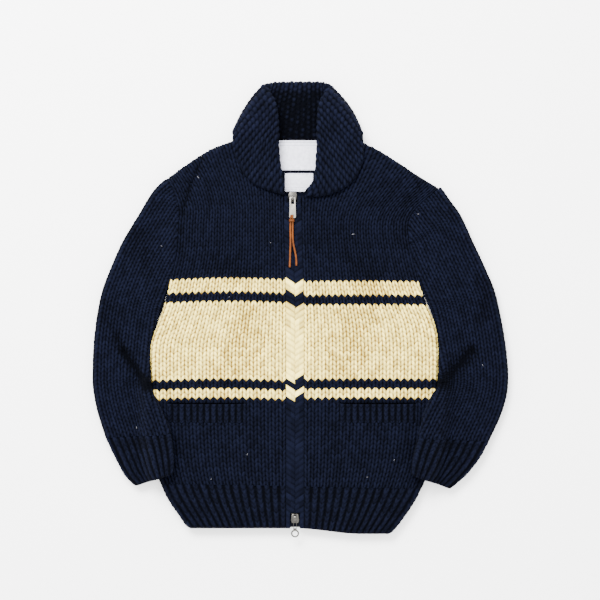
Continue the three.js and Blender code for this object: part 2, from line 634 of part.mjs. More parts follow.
function collar() {
  const leftHalf = COLLAR.left.map((row, k) => collarSection(row, COLLAR_LEVELS[k], LEFT));
  const rightHalf = COLLAR.right.map((row, k) => collarSection(row, COLLAR_LEVELS[k], RIGHT)).reverse();
  const middle = [...leftHalf, ...rightHalf];
  return wallBetween(offsetGrid(middle, COLLAR_WALL / 2), offsetGrid(middle, -COLLAR_WALL / 2), false);
}

// ---- Zip, bands, tapes and chain: bars that follow the zip's gentle lean ----
const ZIP_STEPS = 10;

function barAlongZip(section, lowY, highY) {
  const rings = [];
  for (let j = 0; j <= ZIP_STEPS; j += 1) {
    const y = lerp(lowY, highY, j / ZIP_STEPS);
    rings.push(section.map(([x, z]) => new THREE.Vector3(zipX(y) + x, y, z)));
  }
  const count = section.length;
  const points = rings.flat();
  const triangles = [];
  for (let j = 0; j < ZIP_STEPS; j += 1) {
    for (let i = 0; i < count; i += 1) {
      const a = j * count + i;
      const b = j * count + ((i + 1) % count);
      triangles.push([a, b, b + count]);
      triangles.push([a, b + count, a + count]);
    }
  }
  const lastRing = ZIP_STEPS * count;
  for (let i = 1; i < count - 1; i += 1) {
    triangles.push([0, i + 1, i]);
    triangles.push([lastRing, lastRing + i, lastRing + i + 1]);
  }
  return geometryFrom(points, triangles);
}

function band(side) {
  const { inner, outer, bottom, top, corner } = BAND;
  const section = [
    [inner, bottom],
    [outer, bottom],
    [outer, top - corner],
    [outer - corner, top],
    [inner + corner, top],
    [inner, top - corner],
  ].map(([x, z]) => [side * x, z]);
  const bar = barAlongZip(section, BAND.lowY, BAND.highY);
  const centre = zipX(LOWER_SLIDER_Y);
  const reach = SLIDER.wide / 2 + SEAM;
  const { notch } = BAND;
  const room = box(centre - reach, centre + reach, BAND.lowY - notch, CHAIN.lowY + notch, bottom - notch, top + notch);
  return cut(bar, room);
}

function tape(side) {
  const { inner, outer, bottom, top } = TAPE;
  const section = [[inner, bottom], [outer, bottom], [outer, top], [inner, top]].map(([x, z]) => [side * x, z]);
  const bar = barAlongZip(section, TAPE.lowY, TAPE.highY);
  return cut(bar, sliderRoom(UPPER_SLIDER_Y), sliderRoom(LOWER_SLIDER_Y));
}

function sliderRoom(y) {
  const centre = zipX(y);
  const reach = SLIDER.wide / 2 + SEAM;
  const half = SLIDER.length / 2 + SEAM;
  return box(centre - reach, centre + reach, y - half, y + half, SLIDER.bottom - SEAM, SLIDER.top + SEAM);
}

function chain() {
  const { halfWidth, bottom, top } = CHAIN;
  const section = [[-halfWidth, bottom], [halfWidth, bottom], [halfWidth, top], [-halfWidth, top]];
  return barAlongZip(section, CHAIN.lowY, CHAIN.highY);
}

// A slider with its crown towards `crown` (1 up the front, -1 down it) and a bridge with a hole for its pull.
function slider(y, crown) {
  const shape = new THREE.Shape();
  const half = SLIDER.length / 2;
  const { bevel } = SLIDER;
  shape.moveTo(-SLIDER.narrow / 2, -half);
  shape.lineTo(SLIDER.narrow / 2, -half);
  shape.lineTo(SLIDER.wide / 2, half - bevel * 2);
  shape.lineTo(SLIDER.wide / 2 - bevel, half);
  shape.lineTo(-SLIDER.wide / 2 + bevel, half);
  shape.lineTo(-SLIDER.wide / 2, half - bevel * 2);
  shape.closePath();
  const height = SLIDER.top - SLIDER.bottom;
  const body = new THREE.ExtrudeGeometry(shape, { depth: height, bevelEnabled: false });
  if (crown < 0) body.rotateZ(Math.PI);
  body.translate(zipX(y), y, SLIDER.bottom);
  return join(body, bridge(y, crown));
}

const pivotY = (y, crown) => y - crown * PIVOT.behind;
const PIVOT_Z = SLIDER.top + PIVOT.above;

function bridge(y, crown) {
  const centre = pivotY(y, crown);
  const reach = PIVOT.holeRadius + PIVOT.cheek;
  const { sink } = PIVOT;
  const shape = new THREE.Shape();
  shape.moveTo(-reach, SLIDER.top - sink);
  shape.lineTo(reach, SLIDER.top - sink);
  shape.absarc(0, PIVOT_Z, reach, 0, Math.PI, false);
  shape.closePath();
  const hole = new THREE.Path();
  hole.absarc(0, PIVOT_Z, PIVOT.holeRadius, 0, 2 * Math.PI, true);
  shape.holes.push(hole);
  const width = SLIDER.bridgeWidth;
  const arch = new THREE.ExtrudeGeometry(shape, { depth: width, bevelEnabled: false, curveSegments: PIVOT.holeSides / 2 });
  arch.rotateX(QUARTER).rotateZ(QUARTER);
  return arch.translate(zipX(y) - width / 2, centre, 0);
}

// The long tab of the upper pull: a bar through the bridge, a slot round it and an eye for the lace.
function pullTab() {
  const half = TAB.width / 2;
  const plate = new THREE.Shape();
  const top = TAB.bar / 2;
  const low = -TAB.length + top;
  const { corner, shoulder } = TAB;
  plate.moveTo(-half, low + corner);
  plate.lineTo(-half + corner, low);
  plate.lineTo(half - corner, low);
  plate.lineTo(half, low + corner);
  plate.lineTo(half - shoulder, top);
  plate.lineTo(-half + shoulder, top);
  plate.closePath();
  const { slotWidth, slotLength, eyeSize, eyeY } = TAB_HOLES;
  plate.holes.push(rectanglePath(0, -TAB.bar / 2 - slotLength / 2, slotWidth, slotLength));
  plate.holes.push(rectanglePath(0, -eyeY, eyeSize, eyeSize));
  const solid = new THREE.ExtrudeGeometry(plate, { depth: TAB.thickness, bevelEnabled: false });
  return solid.translate(zipX(UPPER_SLIDER_Y), pivotY(UPPER_SLIDER_Y, 1), PIVOT_Z - TAB.thickness / 2);
}

function rectanglePath(x, y, width, height) {
  const path = new THREE.Path();
  path.moveTo(x - width / 2, y - height / 2);
  path.lineTo(x - width / 2, y + height / 2);
  path.lineTo(x + width / 2, y + height / 2);
  path.lineTo(x + width / 2, y - height / 2);
  path.closePath();
  return path;
}

// The ring pull of the lower slider: a short link through the bridge and a round ring past the hem.
function ringPull() {
  const half = RING.linkWidth / 2;
  const link = new THREE.Shape();
  link.moveTo(-half, TAB.bar / 2);
  link.lineTo(-half, -RING.reach + RING.radius);
  link.lineTo(half, -RING.reach + RING.radius);
  link.lineTo(half, TAB.bar / 2);
  link.closePath();
  const window = SLIDER.bridgeWidth + RING.play * 2;
  const slot = RING.reach - RING.radius - TAB.bar * 2;
  link.holes.push(rectanglePath(0, -TAB.bar / 2 - slot / 2, window, slot));
  const plate = new THREE.ExtrudeGeometry(link, { depth: TAB.thickness, bevelEnabled: false });
  plate.translate(0, 0, -TAB.thickness / 2);
  const ring = new THREE.TorusGeometry(RING.radius, RING.wire, RING.wireSides, RING.sides).translate(0, -RING.reach, 0);
  const pull = join(plate, ring);
  pull.rotateX(THREE.MathUtils.degToRad(RING.tiltDegrees));
  return pull.translate(zipX(LOWER_SLIDER_Y), pivotY(LOWER_SLIDER_Y, -1), PIVOT_Z);
}

// ---- Lace and labels ----
function lace(side) {
  const route = LACE_ROUTES[sideName(side)].map(({ x, y, z }) => new THREE.Vector3(x, y, z));
  const path = new THREE.CatmullRomCurve3(route);
  const section = new THREE.Shape();
  for (let k = 0; k < LACE_SIDES; k += 1) {
    const angle = (2 * Math.PI * k) / LACE_SIDES;
    const x = LACE_RADIUS * Math.cos(angle);
    const y = LACE_RADIUS * Math.sin(angle);
    if (k === 0) section.moveTo(x, y);
    else section.lineTo(x, y);
  }
  section.closePath();
  return new THREE.ExtrudeGeometry(section, { steps: LACE_STEPS, extrudePath: path });
}

function laceKnot() {
  const ball = new THREE.SphereGeometry(1, KNOT.around, KNOT.up);
  return ball.scale(KNOT.width / 2, KNOT.length / 2, KNOT.height / 2).translate(KNOT.x, KNOT.y, KNOT.z);
}

function label({ lowX, highX, lowY, highY, bow }) {
  const lower = [];
  const upper = [];
  for (const y of [lowY, (lowY + highY) / 2, highY]) {
    const bottom = [];
    for (let i = 0; i <= LABEL.steps; i += 1) {
      const t = i / LABEL.steps;
      bottom.push(new THREE.Vector3(lerp(lowX, highX, t), y, LABEL.bottom + bow * 4 * t * (1 - t)));
    }
    lower.push(bottom);
    upper.push(bottom.map((p) => new THREE.Vector3(p.x, p.y, p.z + LABEL.thickness)));
  }
  return wallBetween(upper, lower, false);
}

// ---- Assembly ----
piece('back', backPanel(), COLOURS.navy);
piece('hem_back', hemBack(), COLOURS.navy);
for (const side of [LEFT, RIGHT]) {
  const name = sideName(side);
  piece(`front_${name}`, front(side), COLOURS.cream);
  piece(`hem_${name}`, hemFront(side), COLOURS.navy);
  piece(`sleeve_${name}`, sleeve(side), COLOURS.navy);
  piece(`cuff_${name}`, cuff(side), COLOURS.navy);
  piece(`band_${name}`, band(side), COLOURS.navy);
  piece(`pocket_welt_${name}`, pocketWelt(side), COLOURS.navy);
  piece(`pocket_bag_${name}`, pocketBag(side), COLOURS.navy);
  piece(`zip_tape_${name}`, tape(side), COLOURS.tape);
  piece(`lace_${name}`, lace(side), COLOURS.leather);
}
piece('collar', collar(), COLOURS.navy);
piece('zip_chain', chain(), COLOURS.metal);
piece('slider_top', slider(UPPER_SLIDER_Y, 1), COLOURS.metal);
piece('pull_top', pullTab(), COLOURS.metal);
piece('slider_bottom', slider(LOWER_SLIDER_Y, -1), COLOURS.metal);
piece('pull_bottom', ringPull(), COLOURS.metal);
piece('lace_knot', laceKnot(), COLOURS.leather);
piece('label_large', label(LABELS.large), COLOURS.label);
piece('label_small', label(LABELS.small), COLOURS.label);

export default root;
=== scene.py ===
"""A chunky hand-knit cardigan lying flat, with a shawl collar, a two-way zip and two pockets.

The frame gives the pieces' places in metres. Lengths in the tables below are millimetres, +X to the right as
seen from above, +Y towards the collar and +Z up, and every mesh is scaled to metres when it is made.
"""
import math

import bpy
import numpy as np
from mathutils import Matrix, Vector
from mathutils.geometry import delaunay_2d_cdt


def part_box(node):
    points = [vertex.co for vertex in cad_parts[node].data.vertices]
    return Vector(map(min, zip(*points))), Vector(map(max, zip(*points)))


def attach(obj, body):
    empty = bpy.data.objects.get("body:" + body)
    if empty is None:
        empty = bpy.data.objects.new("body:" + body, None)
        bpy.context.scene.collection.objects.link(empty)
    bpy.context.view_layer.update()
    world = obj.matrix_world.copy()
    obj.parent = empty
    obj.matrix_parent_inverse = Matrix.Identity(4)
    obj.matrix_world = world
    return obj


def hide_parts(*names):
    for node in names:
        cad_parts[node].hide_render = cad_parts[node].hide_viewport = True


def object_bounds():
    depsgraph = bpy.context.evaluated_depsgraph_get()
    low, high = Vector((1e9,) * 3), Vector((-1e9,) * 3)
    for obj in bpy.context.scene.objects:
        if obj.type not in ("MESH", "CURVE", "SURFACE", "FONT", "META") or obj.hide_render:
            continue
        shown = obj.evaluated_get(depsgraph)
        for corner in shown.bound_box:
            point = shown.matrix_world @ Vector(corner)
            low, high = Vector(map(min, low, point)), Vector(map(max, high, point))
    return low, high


bl_info = {
    "name": "Knitted Cardigan",
    "version": (1, 0, 0),
    "blender": (4, 5, 0),
    "location": "3D View > Sidebar > Cardigan",
    "description": "Builds a chunky knitted zip cardigan, laid flat, piece by piece",
    "category": "Add Mesh",
}

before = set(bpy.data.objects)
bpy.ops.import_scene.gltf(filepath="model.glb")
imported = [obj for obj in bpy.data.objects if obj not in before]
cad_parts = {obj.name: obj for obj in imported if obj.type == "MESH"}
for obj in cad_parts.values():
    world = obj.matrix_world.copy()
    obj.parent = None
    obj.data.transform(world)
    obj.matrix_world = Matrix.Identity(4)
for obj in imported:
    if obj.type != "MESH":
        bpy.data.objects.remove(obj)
CAD_BOUNDS = [list(corner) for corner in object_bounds()]
MM = 0.001
SEED = 7

# ---- Sizes shared with the solid parts ----
WALL = 7.0  # thickness of the knitted cloth
SEAM = 0.4
FLOOR_GAP = 0.05
FOLD = 11.0  # outer radius of a folded edge: half the height of the body
MIDDLE_FOLD = FOLD - WALL / 2
LAYERS = 2 * FOLD
LEFT, RIGHT = -1, 1
SIDE_NAMES = {LEFT: "left", RIGHT: "right"}
SIDES = (LEFT, RIGHT)

UNDERARM = 44.0
ARMHOLE_BLEND = 14.0
HEM_TOP = {"left": -303.0, "right": -311.0}
HEM_BOTTOM = {"left": -381.5, "right": -391.5, "step_from": -10.0, "step_to": 110.0}
NECK_FRONT = 199.0
NECK_POINT = {"y": 309.0, "left": 88.0, "right": 80.0}
NECK_CURVE = 1.6
BACK_NECK_DROP = 9.0
SHOULDER_BLEND = 12.0
ZIP = {"low_x": -9.2, "lean": -4.2, "from": -20.0, "over": 220.0}
BAND = {"inner": 0.3, "outer": 15.0, "bottom": 16.6, "top": 21.6, "low_y": -381.5, "high_y": 200.0}
SLIDER_GAPS = {"low_y": -354.5, "low_share": 0.52, "high_y": 188.0, "high_share": 0.62}
CLIMB = {"from": -26.0, "to": 4.0, "clearance": 0.9}


def rows_of(columns, *values):
    """A table: one dictionary for each row of values."""
    names = columns.split()
    return [dict(zip(names, row)) for row in values]


# Outline of the body from above: the side seam up to the underarm, then the armhole.
BODY_SIDES = rows_of(
    "y left right",
    (-392, 190, 158.5), (-364, 209.5, 181), (-329, 233, 204), (-298, 247, 218.5),
    (-262, 256, 230.5), (-200, 262, 239.5), (-122, 263.5, 242.5), (-61, 262, 242),
    (-25, 250, 236), (10, 237.5, 221.5), (46, 229, 208.5), (101, 216.5, 194.5),
    (150, 213.5, 189), (178, 212.5, 203), (215, 225, 244.5), (245, 245, 278),
)
SHOULDERS = {
    "left": rows_of("out y", (88, 309), (123, 296), (157, 283), (190, 263), (228, 236.5), (245, 222)),
    "right": rows_of("out y", (80, 309), (115, 292.5), (131, 285), (164, 266), (206, 238.5), (262, 205)),
}
# Stations of a sleeve from the shoulder to the cuff: both edges of the flat tube and how far it has climbed.
STATION = "outer_x outer_y inner_x inner_y climb"
SLEEVES = {
    "left": rows_of(
        STATION,
        (219, 242, 216, 62, 0), (238, 228, 231, 45, 0), (259, 207, 231, 27, 0), (286, 163, 236, 6, 0),
        (312, 119, 245, -20, 0), (334, 70, 255, -46, 0), (351, 20, 259.5, -72, 0),
        (361.5, -50, 260, -100, 0.1),
        (364.4, -112, 260, -119, 0.65), (363.5, -136, 258, -136, 1), (358.5, -166, 247, -160, 1),
        (351, -194, 232, -187, 1), (341.5, -222.5, 223, -213.5, 1),
    ),
    "right": rows_of(
        STATION,
        (228, 232, 196, 60, 0), (247, 214, 210, 44, 0), (263, 192, 211, 25, 0), (282, 165, 218, 6, 0),
        (304, 117, 228.5, -16, 0), (325.5, 71, 237, -40, 0), (342, 30, 239, -64, 0),
        (355, -30, 239.5, -92, 0.1),
        (363.4, -92, 239, -113, 0.65), (364.2, -132, 238, -134, 1), (358.5, -163, 221, -158, 1),
        (348, -193, 210, -189, 1), (331, -229, 204.5, -221, 1),
    ),
}
CUFFS = {
    "left": rows_of(
        STATION,
        (341.2, -223.2, 222.7, -214.2, 1), (325, -258, 219, -240, 1), (307, -290, 218.5, -264, 1),
        (288, -308, 220, -283.5, 1),
    ),
    "right": rows_of(
        STATION,
        (330.6, -229.7, 204.2, -221.7, 1), (314, -260, 196.5, -245, 1), (291, -288, 193, -267, 1),
        (262, -313, 192, -285.5, 1),
    ),
}
FOLD_LINE = "from_x from_y to_x to_y width depth"
SLEEVE_FOLDS = rows_of(
    FOLD_LINE, (-320, -46, -308, -74, 8, 2.5), (-308, -74, -264, -134, 8, 5), (300, -72, 246, -128, 12, 3.6),
    (-352, 30, -330, -20, 16, 1.0), (330, 60, 322, 0, 18, 1.0), (-300, 150, -270, 90, 20, 1.0),
)
FRONT_FOLDS = rows_of(
    FOLD_LINE, (-206, 205, -210, 90, 8, 1.5), (186, 195, 184, 110, 9, 1.5), (-171, 266, -190, 222, 4, 2.6),
    (-190, 222, -205, 165, 4.5, 2.2), (196, 262, 206, 215, 4, 2.2), (-96, -20, -120, -110, 26, 1.2),
    (120, 20, 90, -90, 30, 1.2), (-150, 90, -90, 60, 22, 1.0), (60, 130, 130, 60, 24, 1.0),
)

SECTION = "base_x base_y roll_x roll_y free_x free_y"
COLLAR = {
    "left": rows_of(
        SECTION,
        (-27, 205.2, -29.5, 211, -29, 200.5), (-35, 211.2, -34, 226, -47, 206),
        (-44, 222.2, -38, 250, -66, 212.5),
        (-54, 237.2, -41, 277, -83, 222), (-64, 256.2, -42, 306, -98, 238),
        (-73, 276.2, -43, 334, -109, 258),
        (-80, 293.2, -48, 359, -117, 281), (-87, 311, -58, 378, -117, 304), (-88, 315, -63, 387, -115, 312),
        (-84, 315, -56, 391, -101, 316), (-66, 308, -42, 393.5, -78, 318), (-38, 304.5, -22, 394, -44, 318),
    ),
    "right": rows_of(
        SECTION,
        (9, 205.2, 14, 209, 9, 199), (18, 213.2, 26, 226, 35, 198), (29, 223.2, 29.5, 250, 61, 205),
        (40, 237.2, 32, 277, 81, 215.5), (51, 256.2, 33, 306, 97, 231.5), (62, 276.2, 34, 334, 107, 252),
        (71, 294.2, 38, 358, 111, 276), (79, 311, 48, 377, 109, 302), (80, 315, 53, 385, 106, 311),
        (76, 315, 49, 390, 94, 316), (58, 308, 41, 393, 70, 318), (32, 304.5, 28, 394, 36, 318),
    ),
}
COLLAR_LEVELS = rows_of(
    "base_z roll_z free_z face",
    (19, 24, 26, 0), (19, 25, 26, 0), (19, 26, 26, 0), (19, 26.5, 26, 0), (19, 26.5, 26, 0),
    (19, 26.5, 26, 0),
    (19, 25.5, 27, 12), (16, 21.5, 22, 50), (12, 15.5, 12.5, 90), (10.5, 9.5, 5.5, 140), (7, 7.5, 3.5, 175),
    (5, 7.5, 3.5, 180),
)
COLLAR_WALL = 6.6
ROLL_RADIUS = 4.0

POCKETS = {"left": (-231.0, -98.0), "right": (71.5, 202.5)}
POCKET = {"slot_top": -162.6, "slot_bottom": -194.4, "mouth": 5.2, "welt_top": 22.6}
WELT = {"beyond": 3.0, "lap_below": 3.5, "lap_above": 4.4, "sag": 1.1, "lip": 0.8, "lip_reach": 9.0}

LACE_RADIUS = 1.6
LACE_Z = 24.6
LACE_ROUTES = {
    "left": ((-17.2, 151.6), (-17.3, 140), (-17, 128), (-17.1, 115), (-17.6, 100), (-18, 87), (-18.4, 74.5)),
    "right": ((-13.2, 151.6), (-13.3, 140), (-13.2, 128), (-12, 115), (-9.2, 102), (-7.3, 91), (-6.8, 77.5)),
}
LABELS = {
    "label_large": {"low_x": -42.0, "high_x": 34.0, "low_y": 245.0, "high_y": 297.5, "bow": 2.5},
    "label_small": {"low_x": -27.0, "high_x": 22.5, "low_y": 207.5, "high_y": 240.0, "bow": 1.2},
}
LABEL = {"bottom": 7.4, "thickness": 0.9}


# ---- Small helpers ----
def smoothstep(low, high, at):
    t = np.clip((at - low) / (high - low), 0, 1)
    return t * t * (3 - 2 * t)


def mix(a, b, t):
    return a + (b - a) * t


def read_table(rows, along, column, at):
    """A smooth curve through one column of a table, read at places along another column."""
    xs = np.array([row[along] for row in rows], float)
    ys = np.array([row[column] for row in rows], float)
    at = np.asarray(at, float)
    last = len(xs) - 1
    k = np.clip(np.searchsorted(xs[1:-1], at, side="left"), 0, last - 1)
    before = np.maximum(np.arange(last + 1) - 1, 0)
    after = np.minimum(np.arange(last + 1) + 1, last)
    slope = (ys[after] - ys[before]) / (xs[after] - xs[before])
    span = xs[k + 1] - xs[k]
    t = np.clip((at - xs[k]) / span, 0, 1)
    beyond = at - mix(xs[k], xs[k + 1], t)
    bend = t * t * (3 - 2 * t)
    value = mix(ys[k], ys[k + 1], bend)
    value = value + span * (t * (1 - t) ** 2 * slope[k] - t * t * (1 - t) * slope[k + 1])
    return value + beyond * np.where(t > 0.5, slope[k + 1], slope[k])


def read_by_row(rows, column, at):
    """The same curve where the rows are evenly spaced, read at a row number."""
    numbered = [{"row": k, column: row[column]} for k, row in enumerate(rows)]
    return read_table(numbered, "row", column, at)


def fold_depth(rows, x, y):
    depth = 0.0
    for row in rows:
        run_x = row["to_x"] - row["from_x"]
        run_y = row["to_y"] - row["from_y"]
        along = ((x - row["from_x"]) * run_x + (y - row["from_y"]) * run_y) / (run_x**2 + run_y**2)
        t = np.clip(along, 0, 1)
        away = np.hypot(x - row["from_x"] - run_x * t, y - row["from_y"] - run_y * t)
        depth = depth + row["depth"] * np.exp(-((away / row["width"]) ** 2))
    return depth


def soft_noise(seed, x, y, size):
    """Smooth seeded noise from -1 to 1, with bumps about one size apart."""
    grid = np.random.default_rng(seed).uniform(-1, 1, (64, 64))
    gx, gy = np.asarray(x) / size, np.asarray(y) / size
    ix, iy = np.floor(gx).astype(int), np.floor(gy).astype(int)
    tx, ty = gx - ix, gy - iy
    tx, ty = tx * tx * (3 - 2 * tx), ty * ty * (3 - 2 * ty)
    low = mix(grid[ix % 64, iy % 64], grid[(ix + 1) % 64, iy % 64], tx)
    high = mix(grid[ix % 64, (iy + 1) % 64], grid[(ix + 1) % 64, (iy + 1) % 64], tx)
    return mix(low, high, ty)


def per_stitch(seed, u, v):
    """A seeded random number from -1 to 1 for each whole stitch."""
    grid = np.random.default_rng(seed).uniform(-1, 1, (64, 128))
    return grid[np.floor(u).astype(int) % 64, np.floor(v).astype(int) % 128]


def crown(t, power=2.2):
    """1 in the middle of 0..1 and 0 at both ends, with a flat top."""
    return 1 - np.abs(2 * np.clip(t, 0, 1) - 1) ** power


# ---- Stitch patterns: how a lattice is sheared and how high it stands, in millimetres ----
class Stockinette:
    """Columns of plump V stitches. The columns (wales) are counted by u and the rows by v."""

    def __init__(self, row_height, relief=2.9, dip=5.6, down=1):
        self.row_height, self.relief, self.dip, self.down = row_height, relief, dip, down

    def shear(self, u):
        return self.down * self.dip * (np.sin(np.abs(2 * (u % 1) - 1) * math.pi / 2) - 0.6)

    def height(self, u, v):
        between_legs = 1 - crown((2 * u) % 1, 2.0)
        between_rows = 1 - crown(v % 1, 2.4)
        hollow = 0.58 * between_legs + 0.3 * between_rows + 0.3 * between_legs * between_rows
        uneven = 0.16 * per_stitch(SEED + 1, 2 * u, v) * (1 - between_rows) * (1 - between_legs)
        return self.relief * (0.32 - hollow + uneven)


class Rib:
    """One raised column of stitches, then one sunk column, over two counts of u."""

    WIDE = 1.7

    def __init__(self, row_height, relief=3.4, dip=5.5):
        self.row_height, self.relief, self.dip = row_height, relief, dip

    def shear(self, u):
        across = np.clip((u % 2) / self.WIDE, 0, 1)
        return self.dip * (np.abs(2 * across - 1) - 0.5)

    def height(self, u, v):
        across = (u % 2) / self.WIDE
        between_ribs = 1 - crown(across, 2.0)
        between_rows = 1 - crown(v % 1, 2.2)
        between_legs = 1 - crown((2 * np.clip(across, 0, 0.9999)) % 1, 2.0)
        raised = 0.7 * between_ribs + 0.34 * between_rows * (1 - 0.5 * between_ribs) + 0.2 * between_legs
        hollow = np.where(across < 1, raised, 0.74 + 0.12 * between_rows)
        uneven = 0.16 * per_stitch(SEED + 3, u, v) * (1 - between_ribs)
        return self.relief * (0.34 - hollow + uneven)


class Braid:
    """One leg of a row of long stitches, low at the zip."""

    def __init__(self, row_height, dip, relief=2.4):
        self.row_height, self.relief, self.dip = row_height, relief, dip

    def shear(self, u):
        return self.dip * (np.clip(u, 0, 1) - 0.5)

    def height(self, u, v):
        between_rows = 1 - crown(v % 1, 2.0)
        return self.relief * (0.2 - 0.3 * between_rows + 0.12 * per_stitch(SEED + 5, 0 * u, v))


class Garter:
    """Ridges of purl bumps, staggered from one ridge to the next. u counts ridges and v counts bumps."""

    def __init__(self, row_height, relief=3.6):
        self.row_height, self.relief = row_height, relief

    def shear(self, u):
        return -0.12 * self.row_height * crown(u % 1, 2.0)

    def height(self, u, v):
        along = v + 0.5 * (np.floor(u) % 2)
        between_ridges = 1 - crown(u % 1, 1.9)
        between_bumps = 1 - crown(along % 1, 2.2)
        hollow = 0.55 * between_ridges + 0.42 * between_bumps + 0.1 * between_ridges * between_bumps
        uneven = 0.2 * per_stitch(SEED + 2, u, along) * (1 - between_ridges) * (1 - between_bumps)
        return self.relief * (0.34 - hollow + uneven)


# ---- Meshes ----
def add_object(name, points, faces, material, smooth=True):
    """A mesh object at the origin, from points in millimetres."""
    mesh = bpy.data.meshes.new(name)
    mesh.from_pydata((np.asarray(points, float) * MM).tolist(), [], faces)
    mesh.polygons.foreach_set("use_smooth", [smooth] * len(mesh.polygons))
    mesh.materials.append(material)
    mesh.update()
    obj = bpy.data.objects.new(name, mesh)
    bpy.context.scene.collection.objects.link(obj)
    return obj


def whole_cells(inside):
    """Cells with all four corners inside, without pairs that touch only at a corner."""
    keep = inside[:-1, :-1] & inside[1:, :-1] & inside[:-1, 1:] & inside[1:, 1:]
    while True:
        a, b, c, d = keep[:-1, :-1], keep[1:, :-1], keep[:-1, 1:], keep[1:, 1:]
        first = a & d & ~b & ~c
        second = b & c & ~a & ~d
        if not (first.any() or second.any()):
            break
        a[first] = False
        b[second] = False
    return keep


def boundary_loops(quads):
    """Closed rings of vertex numbers round the edge of a sheet of quads, in the direction of its faces."""
    starts = quads.ravel()
    ends = np.roll(quads, -1, axis=1).ravel()
    size = int(quads.max()) + 1
    keys = starts.astype(np.int64) * size + ends
    reverse = ends.astype(np.int64) * size + starts
    open_edges = ~np.isin(keys, reverse)
    after = dict(zip(starts[open_edges].tolist(), ends[open_edges].tolist()))
    loops = []
    while after:
        start, at = after.popitem()
        ring = [start]
        while at != start:
            ring.append(at)
            at = after.pop(at)
        loops.append(ring)
    return loops


def unit(vectors):
    return vectors / np.maximum(np.linalg.norm(vectors, axis=-1, keepdims=True), 1e-9)


def normals_of(chart, u, b, step_u=0.04, step_b=0.4):
    across = chart(u + step_u, b) - chart(u - step_u, b)
    along = chart(u, b + step_b) - chart(u, b - step_b)
    return unit(np.cross(across, along))


def settle_edge(u, b, chart, inside, wale, edge):
    """Moves the vertices at the edge of the kept cells on to the outline."""
    for _ in range(3):
        eu, eb = u[edge], b[edge]
        room = inside(eu, eb, chart(eu, eb))
        step = 0.3
        to_u = inside(eu + step / wale, eb, chart(eu + step / wale, eb)) - room
        to_b = inside(eu, eb + step, chart(eu, eb + step)) - room
        slope_a, slope_b = to_u / step, to_b / step
        steepness = np.maximum(slope_a**2 + slope_b**2, 0.05)
        near = np.abs(room) < 7
        u[edge] = eu - np.where(near, np.clip(room * slope_a / steepness, -2.5, 2.5), 0) / wale
        b[edge] = eb - np.where(near, np.clip(room * slope_b / steepness, -2.5, 2.5), 0)


